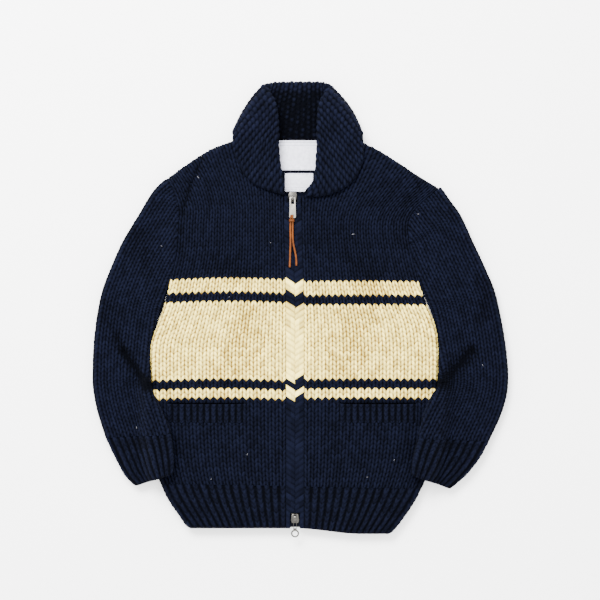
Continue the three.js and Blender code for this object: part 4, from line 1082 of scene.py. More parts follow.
# ---- Settings ----
class CardiganWool(bpy.types.PropertyGroup):
    """Yarn colours and the size of the stitches."""

    navy: bpy.props.FloatVectorProperty(
        name="Navy", description="Colour of the dark wool", subtype="COLOR", size=3,
        default=(0.0027, 0.0035, 0.0094))
    # Painted shade: the navy crease colour darkens the dark wool in the hollows between stitches.
    navy_crease_shade: bpy.props.FloatVectorProperty(
        name="Navy Crease", description="Dark wool between the stitches", subtype="COLOR", size=3,
        default=(0.0003, 0.0004, 0.0011))
    cream: bpy.props.FloatVectorProperty(
        name="Cream", description="Colour of the pale wool", subtype="COLOR", size=3,
        default=(0.95, 0.77, 0.2))
    # Painted shade: the cream crease colour darkens the pale wool in the hollows between stitches.
    cream_crease_shade: bpy.props.FloatVectorProperty(
        name="Cream Crease", description="Pale wool between the stitches", subtype="COLOR", size=3,
        default=(0.17, 0.095, 0.014))
    stitch_width: bpy.props.FloatProperty(
        name="Stitch Width", description="Width of one column of stitches", unit="LENGTH", default=0.0113,
        min=0.005)
    row_height: bpy.props.FloatProperty(
        name="Row Height", description="Height of one row of stitches", unit="LENGTH", default=0.008,
        min=0.004)
    rib_width: bpy.props.FloatProperty(
        name="Rib Width", description="Distance from one rib to the next", unit="LENGTH", default=0.0152,
        min=0.008)
    stripe_right: bpy.props.FloatProperty(
        name="Right Stripe", description="Height of the top cream stripe's upper edge on the right front",
        unit="LENGTH", default=0.0495)
    stripe_left: bpy.props.FloatProperty(
        name="Left Stripe", description="Height of the top cream stripe's upper edge on the left front",
        unit="LENGTH", default=0.0526)


class CardiganTrim(bpy.types.PropertyGroup):
    """Zip, lace and labels."""

    nickel: bpy.props.FloatVectorProperty(
        name="Nickel", description="Colour of the zip's metal", subtype="COLOR", size=3,
        default=(0.3, 0.285, 0.26))
    lace: bpy.props.FloatVectorProperty(
        name="Lace", description="Colour of the leather lace", subtype="COLOR", size=3,
        default=(0.06, 0.0165, 0.0024))
    label: bpy.props.FloatVectorProperty(
        name="Label", description="Colour of the woven labels", subtype="COLOR", size=3,
        default=(0.5, 0.5, 0.57))
    tooth_pitch: bpy.props.FloatProperty(
        name="Tooth Pitch", description="Distance between the zip's teeth", unit="LENGTH", default=0.0034,
        min=0.002)


class CardiganStage(bpy.types.PropertyGroup):
    """Floor, light and camera."""

    floor_size: bpy.props.FloatProperty(name="Floor Size", description="Side of the floor", unit="LENGTH",
                                        default=60.0)
    light: bpy.props.FloatProperty(name="Sky", description="Strength of the light from all round",
                                   default=4.0)
    lamp: bpy.props.FloatProperty(name="Lamp", description="Strength of the softbox", default=420.0)
    lens: bpy.props.FloatProperty(name="Lens", description="Focal length of the camera", unit="CAMERA",
                                  default=85.0)
    view_width: bpy.props.FloatProperty(
        name="View Width", description="Width that the camera sees at the cloth", unit="LENGTH",
        default=1.05)


def navy_wool():
    settings = bpy.context.scene.cardigan_wool
    return wool("navy_yarn", [tuple(settings.navy), tuple(settings.navy_crease_shade)])


def striped_wool():
    settings = bpy.context.scene.cardigan_wool
    colours = [settings.navy, settings.navy_crease_shade, settings.cream, settings.cream_crease_shade]
    return wool("striped_yarn", [tuple(colour) for colour in colours], striped=True)


def settle(obj, node, body="root"):
    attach(obj, body)
    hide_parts(node)
    return obj


STRIPE_ROWS = {  # rows in each stripe, from the top down: cream, navy, cream, navy, cream
    "left": (3, 2, 17, 2, 2),
    "right": (3, 2, 16, 2, 2),
}


def stripe_rule(side):
    """A function from a row's number, counted from the top of the highest cream stripe, to 1 for cream."""
    edges = np.cumsum([0, *STRIPE_ROWS[SIDE_NAMES[side]]])

    def cream(row):
        below = -np.asarray(row, float) - 1
        return sum(((below >= edges[k]) & (below < edges[k + 1])).astype(int) for k in (0, 2, 4))

    return cream


# ---- Tubes, softened copies and repeated parts ----
def smooth_route(points, count):
    """Evenly spaced points on a smooth curve through a few places, in millimetres."""
    points = np.asarray(points, float)
    rows = [{"row": k, "x": p[0], "y": p[1], "z": p[2]} for k, p in enumerate(points)]
    fine = np.linspace(0, len(points) - 1, 400)
    path = np.stack([read_table(rows, "row", axis, fine) for axis in "xyz"], axis=1)
    run = np.concatenate([[0], np.cumsum(np.linalg.norm(np.diff(path, axis=0), axis=1))])
    even = np.linspace(0, run[-1], count)
    return np.stack([np.interp(even, run, path[:, k]) for k in range(3)], axis=1)


def tube_parts(path, radius, sides=12, flatten=1.0, closed=False, taper=None):
    """Points and faces of a tube along a path; flatten squeezes its height."""
    path = np.asarray(path, float)
    count = len(path)
    if closed:
        tangent = unit(np.roll(path, -1, axis=0) - np.roll(path, 1, axis=0))
    else:
        tangent = unit(np.gradient(path, axis=0))
    up = np.array([0.0, 0.0, 1.0])
    across = unit(np.cross(tangent, up) + 1e-6)
    over = np.cross(across, tangent)
    turn = np.arange(sides) * 2 * math.pi / sides
    size = np.full(count, float(radius)) if taper is None else radius * np.asarray(taper)
    ring = (across[:, None] * np.cos(turn)[None, :, None]
            + over[:, None] * np.sin(turn)[None, :, None] * flatten) * size[:, None, None]
    points = (path[:, None] + ring).reshape(-1, 3)
    spans = count if closed else count - 1
    faces = []
    for j in range(spans):
        for i in range(sides):
            a, b = j * sides + i, j * sides + (i + 1) % sides
            low, high = (j + 1) % count * sides + i, (j + 1) % count * sides + (i + 1) % sides
            faces.append((a, b, high, low))
    if not closed:
        faces.append(tuple(range(sides))[::-1])
        faces.append(tuple(range((count - 1) * sides, count * sides)))
    return points, faces


def outward(obj):
    """Turns the faces of a closed mesh outwards."""
    import bmesh
    work = bmesh.new()
    work.from_mesh(obj.data)
    bmesh.ops.remove_doubles(work, verts=work.verts, dist=1e-7)
    bmesh.ops.recalc_face_normals(work, faces=work.faces)
    work.to_mesh(obj.data)
    work.free()
    return obj


def joined(name, parts, material, smooth=True):
    points, faces = [], []
    for part_points, part_faces in parts:
        start = len(points)
        points += np.asarray(part_points).tolist()
        faces += [tuple(start + k for k in face) for face in part_faces]
    return outward(add_object(name, points, faces, material, smooth))


def baked(obj):
    """The object with its modifiers made real."""
    depsgraph = bpy.context.evaluated_depsgraph_get()
    mesh = bpy.data.meshes.new_from_object(obj.evaluated_get(depsgraph))
    obj.modifiers.clear()
    obj.data = mesh
    return obj


def softened(node, name, material, bevel, segments=3, angle=30):
    """A copy of a solid part with its edges rounded, in millimetres."""
    import bmesh
    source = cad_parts[node]
    mesh = source.data.copy()
    mesh.name = name
    work = bmesh.new()
    work.from_mesh(mesh)
    bmesh.ops.remove_doubles(work, verts=work.verts, dist=1e-6)
    bmesh.ops.dissolve_limit(work, angle_limit=math.radians(1), verts=work.verts, edges=work.edges)
    work.to_mesh(mesh)
    work.free()
    obj = bpy.data.objects.new(name, mesh)
    bpy.context.scene.collection.objects.link(obj)
    mesh.materials.clear()
    mesh.materials.append(material)
    rounding = obj.modifiers.new("Rounding", "BEVEL")
    rounding.width, rounding.segments = bevel * MM, segments
    rounding.limit_method, rounding.angle_limit = "ANGLE", math.radians(angle)
    rounding.harden_normals = False
    baked(obj)
    obj.data.polygons.foreach_set("use_smooth", [True] * len(obj.data.polygons))
    obj.data.set_sharp_from_angle(angle=math.radians(40))
    return obj


def geometry_tree(name, inputs):
    """An empty Geometry Nodes tree with a geometry in and out and named inputs."""
    tree = bpy.data.node_groups.new(name, "GeometryNodeTree")
    tree.interface.new_socket(name="Geometry", in_out="INPUT", socket_type="NodeSocketGeometry")
    sockets = {}
    for label, kind, value in inputs:
        socket = tree.interface.new_socket(name=label, in_out="INPUT", socket_type=kind)
        if value is not None:
            socket.default_value = value
        sockets[label] = socket.identifier
    tree.interface.new_socket(name="Geometry", in_out="OUTPUT", socket_type="NodeSocketGeometry")
    return tree, Nodes(tree), tree.nodes.new("NodeGroupInput"), tree.nodes.new("NodeGroupOutput"), sockets


def run_tree(obj, tree, sockets, values):
    """Evaluates a tree on an object with the given inputs and keeps the result as its mesh."""
    modifier = obj.modifiers.new(tree.name, "NODES")
    modifier.node_group = tree
    for label, value in values.items():
        modifier[sockets[label]] = value
    return baked(obj)


def along_path_tree():
    """Instances of one part at even steps along a path."""
    tree, n, given, result, sockets = geometry_tree(
        "Parts Along Path",
        [("Part", "NodeSocketObject", None), ("Pitch", "NodeSocketFloat", 0.003),
         ("Start", "NodeSocketFloat", 0.0),
         ("Offset", "NodeSocketVector", (0.0, 0.0, 0.0)), ("Material", "NodeSocketMaterial", None)],
    )
    curve = n.add("GeometryNodeMeshToCurve", {}, Mesh=given.outputs["Geometry"])
    points = n.add("GeometryNodeCurveToPoints", {"mode": "LENGTH"}, Curve=curve.outputs[0],
                   Length=given.outputs["Pitch"])
    shift = n.add("ShaderNodeCombineXYZ", {}, Y=given.outputs["Start"])
    offset = n.add("ShaderNodeVectorMath", {"operation": "ADD"}, _0=given.outputs["Offset"],
                   _1=shift.outputs[0])
    moved = n.add("GeometryNodeSetPosition", {}, Geometry=points.outputs[0], Offset=offset.outputs[0])
    part = n.add("GeometryNodeObjectInfo", {}, Object=given.outputs["Part"])
    placed = n.add("GeometryNodeInstanceOnPoints", {}, Points=moved.outputs[0],
                   Instance=part.outputs["Geometry"])
    real = n.add("GeometryNodeRealizeInstances", {}, Geometry=placed.outputs[0])
    painted = n.add("GeometryNodeSetMaterial", {}, Geometry=real.outputs[0],
                    Material=given.outputs["Material"])
    tree.links.new(painted.outputs[0], result.inputs[0])
    return tree, sockets


def fibre_tree():
    """One copy of a part at every point, each turned and sized its own way."""
    tree, n, given, result, sockets = geometry_tree(
        "Loose Hairs",
        [("Part", "NodeSocketObject", None), ("Seed", "NodeSocketInt", SEED),
         ("Tilt", "NodeSocketFloat", 0.25),
         ("Smallest", "NodeSocketFloat", 0.7), ("Largest", "NodeSocketFloat", 1.3),
         ("Material", "NodeSocketMaterial", None)],
    )
    tilt = given.outputs["Tilt"]
    least = n.add("ShaderNodeCombineXYZ", {}, X=n.math("MULTIPLY", tilt, -1.0),
                  Y=n.math("MULTIPLY", tilt, -1.0), Z=-3.14)
    most = n.add("ShaderNodeCombineXYZ", {}, X=tilt, Y=tilt, Z=3.14)
    lean = n.add("FunctionNodeRandomValue", {"data_type": "FLOAT_VECTOR"}, _0=least.outputs[0],
                 _1=most.outputs[0],
                 Seed=given.outputs["Seed"])
    size = n.add("FunctionNodeRandomValue", {"data_type": "FLOAT"}, _2=given.outputs["Smallest"],
                 _3=given.outputs["Largest"], Seed=given.outputs["Seed"])
    part = n.add("GeometryNodeObjectInfo", {}, Object=given.outputs["Part"])
    placed = n.add("GeometryNodeInstanceOnPoints", {}, Points=given.outputs["Geometry"],
                   Instance=part.outputs["Geometry"], Rotation=lean.outputs[0], Scale=size.outputs[1])
    real = n.add("GeometryNodeRealizeInstances", {}, Geometry=placed.outputs[0])
    painted = n.add("GeometryNodeSetMaterial", {}, Geometry=real.outputs[0],
                    Material=given.outputs["Material"])
    tree.links.new(painted.outputs[0], result.inputs[0])
    return tree, sockets


# ---- Operators, one for each piece or group of like pieces ----
class CARDIGAN_OT_stage(bpy.types.Operator):
    """Lay the pale floor and set the soft light and the camera straight above"""

    bl_idname = "cardigan.stage"
    bl_label = "Stage"

    def execute(self, context):
        settings = context.scene.cardigan_stage
        half = settings.floor_size / 2 / MM
        floor, n, shader = new_material("floor_white")
        place = n.add("ShaderNodeTexCoord").outputs["Object"]
        paper = n.add("ShaderNodeTexNoise", {}, Vector=place, Scale=3.0, Detail=2.0)
        n.tree.links.new(n.mix(paper.outputs[0], rgba((0.955, 0.955, 0.955)), rgba((0.965, 0.965, 0.965))),
                         shader.inputs["Base Color"])
        shader.inputs["Roughness"].default_value = 0.9
        shader.inputs["Specular IOR Level"].default_value = 0.1
        corners = [(-half, -half, 0), (half, -half, 0), (half, half, 0), (-half, half, 0)]
        add_object("floor", corners, [(0, 1, 2, 3)], floor, smooth=False)
        world = bpy.data.worlds.new("soft_light")
        context.scene.world = world
        world.use_nodes = True
        sky = world.node_tree.nodes["Background"]
        sky.inputs["Color"].default_value = (1.0, 1.0, 1.0, 1.0)
        sky.inputs["Strength"].default_value = settings.light
        light = bpy.data.lights.new("softbox", "AREA")
        light.shape, light.size, light.size_y, light.energy = "RECTANGLE", 1.8, 1.2, settings.lamp
        softbox = bpy.data.objects.new("softbox", light)
        softbox.location = (-0.9, 1.9, 2.3)
        softbox.rotation_euler = (Vector((0, 0, 0)) - softbox.location).to_track_quat("-Z", "Y").to_euler()
        context.scene.collection.objects.link(softbox)
        camera = bpy.data.cameras.new("camera")
        camera.lens, camera.sensor_width = settings.lens, 36.0
        lifted = bpy.data.objects.new("camera", camera)
        low, high = (Vector(corner) for corner in CAD_BOUNDS)
        height = settings.view_width * camera.lens / camera.sensor_width
        middle = (low + high) / 2
        lifted.location = (middle.x - 0.0004, middle.y + 0.0175, height + 0.016)
        context.scene.collection.objects.link(lifted)
        context.scene.camera = lifted
        return {"FINISHED"}


class CARDIGAN_OT_lace(bpy.types.Operator):
    """Make the leather lace: two free strands and the knot that ties them through the pull's eye"""

    bl_idname = "cardigan.lace"
    bl_label = "Lace"

    def execute(self, context):
        hide = leather("lace_leather", tuple(context.scene.cardigan_trim.lace))
        strands = []
        for side in SIDES:
            name = f"lace_{SIDE_NAMES[side]}"
            route = smooth_route([(x, y, LACE_Z) for x, y in LACE_ROUTES[SIDE_NAMES[side]]], 40)
            wobble = 1 + 0.05 * np.sin(np.arange(40) * 1.9 + side)
            strand = joined(f"{name}_strand", [tube_parts(route, LACE_RADIUS, 14, 0.86, taper=wobble)], hide)
            settle(strand, name, "pull_top")
            strands.append(strand)
        low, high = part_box("lace_knot")
        x, y, z = ((a + b) / 2 / MM for a, b in zip(low, high))
        eye_y = (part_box("pull_top")[0][1] / MM) + 4.4
        parts = []
        for shift in (-1.5, 1.5):
            run = [(x + shift * 1.3, y - 4.4, z - 0.3), (x + shift * 1.1, y, z - 0.4),
                   (x + shift, eye_y - 1.5, z + 1.6), (x + shift * 0.9, eye_y, z - 0.6)]
            parts.append(tube_parts(smooth_route(run, 14), 1.45, 10, 0.9))
        for level, lean in ((-1.4, 0.5), (0.9, -0.4)):
            angle = np.linspace(0, 2 * math.pi, 24, endpoint=False)
            ring = np.stack([x + 3.5 * np.cos(angle), y + level + lean * np.sin(angle) * 1.6,
                             z - 0.1 + 1.75 * np.sin(angle)], axis=1)
            parts.append(tube_parts(ring, 1.3, 10, closed=True))
        knot = joined("lace_tied_knot", parts, hide)
        settle(knot, "lace_knot", "pull_top")
        return {"FINISHED"}


class CARDIGAN_OT_fronts(bpy.types.Operator):
    """Knit the two striped fronts, each with its pocket slot"""

    bl_idname = "cardigan.fronts"
    bl_label = "Fronts"

    COLUMNS = 18
    FOLD_COLUMNS = 1.0
    BOWS = {"left": 3.0, "right": 0.8}
    ROWS = {"left": 1.005, "right": 1.02}
    FLAT = (0.29, 0.62)
    AREA = 0.142

    def execute(self, context):
        settings = context.scene.cardigan_wool
        wale = settings.stitch_width / MM
        for side in SIDES:
            name = SIDE_NAMES[side]
            chart = BodyPanel(side, self.COLUMNS, self.FOLD_COLUMNS, self.BOWS[name])
            stripe = (settings.stripe_left if side == LEFT else settings.stripe_right) / MM

            def inside(u, b, place):
                slot = from_slot(side, place[..., 0], place[..., 1])
                return np.minimum(np.minimum(chart.room_above_hem(place), chart.room_below_top(u, b)), slot)

            def rim(u, b, place):
                slot = from_slot(side, place[..., 0], place[..., 1])
                ends = np.minimum(chart.room_above_hem(place) + 2.4, chart.room_below_top(u, b) + 0.6)
                sides = np.minimum(u * wale + 0.3, chart.room_at_armhole(place))
                return np.minimum(np.minimum(sides, ends), slot)

            front = knitted(
                f"front_{name}_knit", striped_wool(), chart,
                Stockinette(settings.row_height / MM * self.ROWS[name]),
                (0, self.COLUMNS + self.FOLD_COLUMNS), 8, (-325, 330), 4, inside=inside, facing=(8, 0, 1),
                rim=rim,
                cream=stripe_rule(side), wale=wale, offset=stripe, rim_radius=4.5,
                shadow=lambda u, b, place: 0.1 * fold_depth(FRONT_FOLDS, place[..., 0], place[..., 1]))
            settle(front, f"front_{name}")
        return {"FINISHED"}


class CARDIGAN_OT_back(bpy.types.Operator):
    """Knit the back, which lies on the floor and folds up at both sides"""

    bl_idname = "cardigan.back"
    bl_label = "Back"

    COLUMNS = 38
    FOLD_COLUMNS = 1.0

    def execute(self, context):
        settings = context.scene.cardigan_wool
        chart = BodyPanel(None, self.COLUMNS, self.FOLD_COLUMNS)

        def inside(u, b, place):
            return np.minimum(chart.room_above_hem(place), chart.room_below_top(u, b))

        back = knitted(
            "back_knit", navy_wool(), chart, Stockinette(settings.row_height / MM),
            (-self.FOLD_COLUMNS, self.COLUMNS + self.FOLD_COLUMNS), 6, (-325, 330), 4, inside=inside,
            facing=(20, 0, -1),
            rim=lambda u, b, place: np.minimum(
                np.minimum(chart.room_above_hem(place) + 1.8, chart.room_below_top(u, b) + 0.6),
                chart.room_at_armhole(place)),
            wale=settings.stitch_width / MM)
        settle(back, "back")
        return {"FINISHED"}


class CARDIGAN_OT_hems(bpy.types.Operator):
    """Knit the ribbed hem of the back and of both fronts"""

    bl_idname = "cardigan.hems"
    bl_label = "Hems"

    FOLD_COLUMNS = 2.4

    def execute(self, context):
        settings = context.scene.cardigan_wool
        rib = settings.rib_width / MM
        pattern = Rib(settings.row_height / MM)
        for side, ribs in ((LEFT, 15), (RIGHT, 14), (None, 30)):
            name = "back" if side is None else SIDE_NAMES[side]
            chart = BodyPanel(side, 2 * ribs, self.FOLD_COLUMNS)
            start = -self.FOLD_COLUMNS if side is None else 0

            def inside(u, b, place):
                return chart.room_in_hem(place)

            hem = knitted(
                f"hem_{name}_rib", navy_wool(), chart, pattern, (start, 2 * ribs + self.FOLD_COLUMNS), 5,
                (-400, -295), 4, inside=inside, facing=(ribs, -340, -1 if side is None else 1),
                rim=lambda u, b,
                place: np.minimum(chart.room_in_hem(place) + 1.6, chart.room_at_bottom(place)),
                wale=rib / 2, spacing=12.0, rim_radius=3.4)
            settle(hem, f"hem_{name}")
        return {"FINISHED"}


class CARDIGAN_OT_sleeves(bpy.types.Operator):
    """Knit the two sleeves, flat tubes whose forearms lie on the body"""

    bl_idname = "cardigan.sleeves"
    bl_label = "Sleeves"

    REACH = 17  # columns either way round from the outer edge

    def execute(self, context):
        settings = context.scene.cardigan_wool
        wale = settings.stitch_width / MM
        for side in SIDES:
            name = SIDE_NAMES[side]
            chart = Sleeve(side, wale)

            def rim(u, b, place):
                return np.minimum(chart.room_above_wrist(place) + 1.8, chart.room_beside_body(place) + 0.8)

            def shadow(u, b, place):
                return 0.15 * fold_depth(SLEEVE_FOLDS, place[..., 0],
                                         place[..., 1]) * (place[..., 2] > LAYERS / 2)

            sleeve = knitted(
                f"sleeve_{name}_knit", navy_wool(), chart, Stockinette(settings.row_height / MM, down=-1),
                (-self.REACH, self.REACH), 8, (0, chart.length), 4, inside=chart.room, facing=(5, 250, 1),
                rim=rim,
                wale=wale, shadow=shadow)
            settle(sleeve, f"sleeve_{name}")
        return {"FINISHED"}


class CARDIGAN_OT_cuffs(bpy.types.Operator):
    """Knit the ribbed cuffs"""

    bl_idname = "cardigan.cuffs"
    bl_label = "Cuffs"

    COLUMNS = 20

    def execute(self, context):
        settings = context.scene.cardigan_wool
        for side in SIDES:
            name = SIDE_NAMES[side]
            chart = Cuff(side, self.COLUMNS)
            cuff = knitted(
                f"cuff_{name}_rib", navy_wool(), chart, Rib(settings.row_height / MM),
                (-self.COLUMNS, self.COLUMNS), 5, (0, chart.length), 4, facing=(6, 30, 1),
                rim=lambda u, b, place: np.minimum(b + 2.0, chart.length - b), wale=5.6, spacing=11.0,
                rim_radius=3.4)
            settle(cuff, f"cuff_{name}")
        return {"FINISHED"}


class CARDIGAN_OT_collar(bpy.types.Operator):
    """Knit the shawl collar in one piece: stand, roll and fall"""

    bl_idname = "cardigan.collar"
    bl_label = "Collar"

    RIDGE = 10.0
    BUMP = 8.8

    def execute(self, context):
        chart = Collar(self.RIDGE)

        def rim(u, b, place):
            _, fall = chart.reach(u)
            ends = np.minimum(u, chart.ridges - u) * self.RIDGE
            return np.minimum(fall - b, ends)

        collar = knitted(
            "collar_garter", navy_wool(), chart, Garter(self.BUMP), (0, chart.ridges), 6, (-130, 150), 6,
            inside=chart.room, facing=(6, 30, 1), rim=rim, thickness=COLLAR_WALL, wale=self.RIDGE,
            spacing=13.0,
            shadow=lambda u, b,
            place: 0.45 * smoothstep(2, -8, b + smoothstep(340, 385, place[..., 1]) * 14))
        settle(collar, "collar")
        return {"FINISHED"}


class CARDIGAN_OT_bands(bpy.types.Operator):
    """Knit the two narrow bands of long stitches that cover the zip's edges"""

    bl_idname = "cardigan.bands"
    bl_label = "Bands"

    ROW = 10.4
    DIP = 10.0

    def execute(self, context):
        settings = context.scene.cardigan_wool
        width = BAND["outer"] - BAND["inner"]
        middle_z = (BAND["top"] + BAND["bottom"]) / 2
        for side in SIDES:
            name = SIDE_NAMES[side]
            stripe = (settings.stripe_left if side == LEFT else settings.stripe_right) / MM

            def chart(u, b):
                x = zip_x(b) + side * (width + 1.0) * np.clip(u, -0.1, 1.1)
                return np.stack([x, b + 0 * u, middle_z + 0 * x], axis=-1)

            def inside(u, b, place):
                gaps = SLIDER_GAPS
                room = np.minimum(b - BAND["low_y"], BAND["high_y"] - b)
                beside = (u - np.where(b > 0, gaps["high_share"], gaps["low_share"])) * width
                between = np.minimum(b - gaps["low_y"], gaps["high_y"] - b)
                return np.minimum(room, np.maximum(beside, between))

            def rim(u, b, place):
                return np.minimum(np.minimum(u, 1 - u) * width + 0.15, inside(u, b, place) + 0.2)

            rows = [r * settings.row_height / MM / self.ROW for r in STRIPE_ROWS[name]]
            edges = np.cumsum([0, *rows])

            def cream(row):
                below_top = -np.asarray(row, float) - 0.5
                return sum(((below_top >= edges[k]) & (below_top < edges[k + 1])).astype(int) for k in (0,
                        2, 4))

            band = knitted(
                f"band_{name}_braid", striped_wool(), chart, Braid(self.ROW, self.DIP), (0, 1),
                14, (-400, 212), 8, inside=inside, facing=(0.5, 0, 1), rim=rim, cream=cream,
                thickness=BAND["top"] - BAND["bottom"], wale=width, spacing=9.0, rim_radius=6.5,
                offset=stripe)
            settle(band, f"band_{name}")
        return {"FINISHED"}


class CARDIGAN_OT_pockets(bpy.types.Operator):
    """Knit the ribbed welts and the bags behind them"""

    bl_idname = "cardigan.pockets"
    bl_label = "Pockets"

    RIBS = 12

    def execute(self, context):
        settings = context.scene.cardigan_wool
        top_z, bottom_z = POCKET["welt_top"], LAYERS - WALL
        for side in SIDES:
            name = SIDE_NAMES[side]
            low_x, high_x = (x - s * WELT["beyond"] for x, s in zip(POCKETS[name], (1, -1)))
            low_y = POCKET["slot_bottom"] - WELT["lap_below"]
            high_y = POCKET["slot_top"] - POCKET["mouth"] + WELT["lap_above"]
            columns = 2 * self.RIBS + 1

            def chart(u, b):
                x = mix(low_x, high_x, u / columns)
                b = b - WELT["sag"] * crown(u / columns, 4.0) * (b - low_y) / (high_y - low_y)
                lip = smoothstep(high_y - WELT["lip_reach"], high_y, b)
                z = (top_z + bottom_z) / 2 + WELT["lip"] * lip
                return np.stack([x, b + 0 * x, z + 0 * x], axis=-1)

            def rim(u, b, place):
                ends = np.minimum(u, columns - u) * (high_x - low_x) / columns
                return np.minimum(np.minimum(high_y - b, b - low_y), ends)

            welt = knitted(
                f"pocket_welt_{name}_rib", navy_wool(), chart, Rib(settings.row_height / MM), (0, columns),
                5,
                (low_y, high_y), 5, facing=(9, (low_y + high_y) / 2, 1), rim=rim, thickness=top_z - bottom_z,
                wale=7.0, spacing=8.0, rim_radius=3.6)
            settle(welt, f"pocket_welt_{name}")
            lining = bpy.data.materials.get("lining_knit") or woven("lining_knit", (0.0012, 0.0018, 0.005),
                    1400.0, 0.95)
            bag = softened(f"pocket_bag_{name}", f"pocket_bag_{name}_cloth", lining, 0.9)
            settle(bag, f"pocket_bag_{name}")
        return {"FINISHED"}


class CARDIGAN_OT_zip(bpy.types.Operator):
    """Make the zip: tapes, teeth, both sliders and their pulls"""

    bl_idname = "cardigan.zip"
    bl_label = "Zip"

    def teeth(self, context, nickel):
        trim = context.scene.cardigan_trim
        low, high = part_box("zip_chain")
        low_y, high_y, top, bottom = low[1] / MM, high[1] / MM, high[2] / MM, low[2] / MM
        tooth = add_object("tooth_form", [], [], nickel, smooth=False)
        half_x, half_y, half_z, chamfer = 2.2, 1.0, (top - bottom) / 2, 0.45
        corners = [(sx * (half_x - chamfer * (level != 0)), sy * half_y, level * (half_z - chamfer * 0))
                   for level in (-1, 0, 1) for sx, sy in ((-1, -1), (1, -1), (1, 1), (-1, 1))]
        faces = [(0, 3, 2, 1), (8, 9, 10, 11)]
        for ring in (0, 4):
            faces += [(ring + k, ring + (k + 1) % 4, ring + 4 + (k + 1) % 4, ring + 4 + k) for k in range(4)]
        tooth.data.clear_geometry()
        tooth.data.from_pydata((np.array(corners, float) * MM).tolist(), [], faces)
        tree, sockets = along_path_tree()
        parts = []
        for side in SIDES:
            start = low_y + 1.2 + (trim.tooth_pitch / MM / 2 if side == RIGHT else 0)
            ys = np.linspace(start, high_y - 2.6, 90)
            line = np.stack([zip_x(ys) + side * 1.6, ys, np.full(90, (top + bottom) / 2)], axis=1)
            path = add_object(f"teeth_{SIDE_NAMES[side]}", line, [], nickel)
            path.data.clear_geometry()
            path.data.from_pydata((line * MM).tolist(), [(k, k + 1) for k in range(89)], [])
            parts.append(run_tree(path, tree, sockets, {
                "Part": tooth, "Pitch": trim.tooth_pitch, "Start": 0.0, "Material": nickel}))
        bpy.data.objects.remove(tooth)
        for part in parts:
            settle(part, "zip_chain")

    def execute(self, context):
        trim = context.scene.cardigan_trim
        # The sliders and the bottom pull take the nickel darkened to 0.27 and the teeth the nickel darkened to
        # 0.12: painted shade on darker copies of one metal.
        nickel = metal("zip_nickel", tuple(trim.nickel))
        nickel_in_shade = metal("zip_nickel_shaded", tuple(0.27 * c for c in trim.nickel))
        self.teeth(context, metal("zip_teeth_shaded", tuple(0.12 * c for c in trim.nickel), 0.4))
        tape = woven("zip_tape_weave", (0.0016, 0.0022, 0.0055), 2400.0, 0.85)
        for side in SIDES:
            node = f"zip_tape_{SIDE_NAMES[side]}"
            piece = softened(node, f"{node}_cloth", tape, 0.3, 2)
            settle(piece, node)
        for node, body, bevel in (("slider_top", "root", 1.1), ("slider_bottom", "root", 1.1),
                                  ("pull_top", "pull_top", 0.55), ("pull_bottom", "pull_bottom", 0.4)):
            piece = softened(node, f"{node}_metal", nickel if body == "pull_top" else nickel_in_shade, bevel)
            settle(piece, node, body)
        return {"FINISHED"}


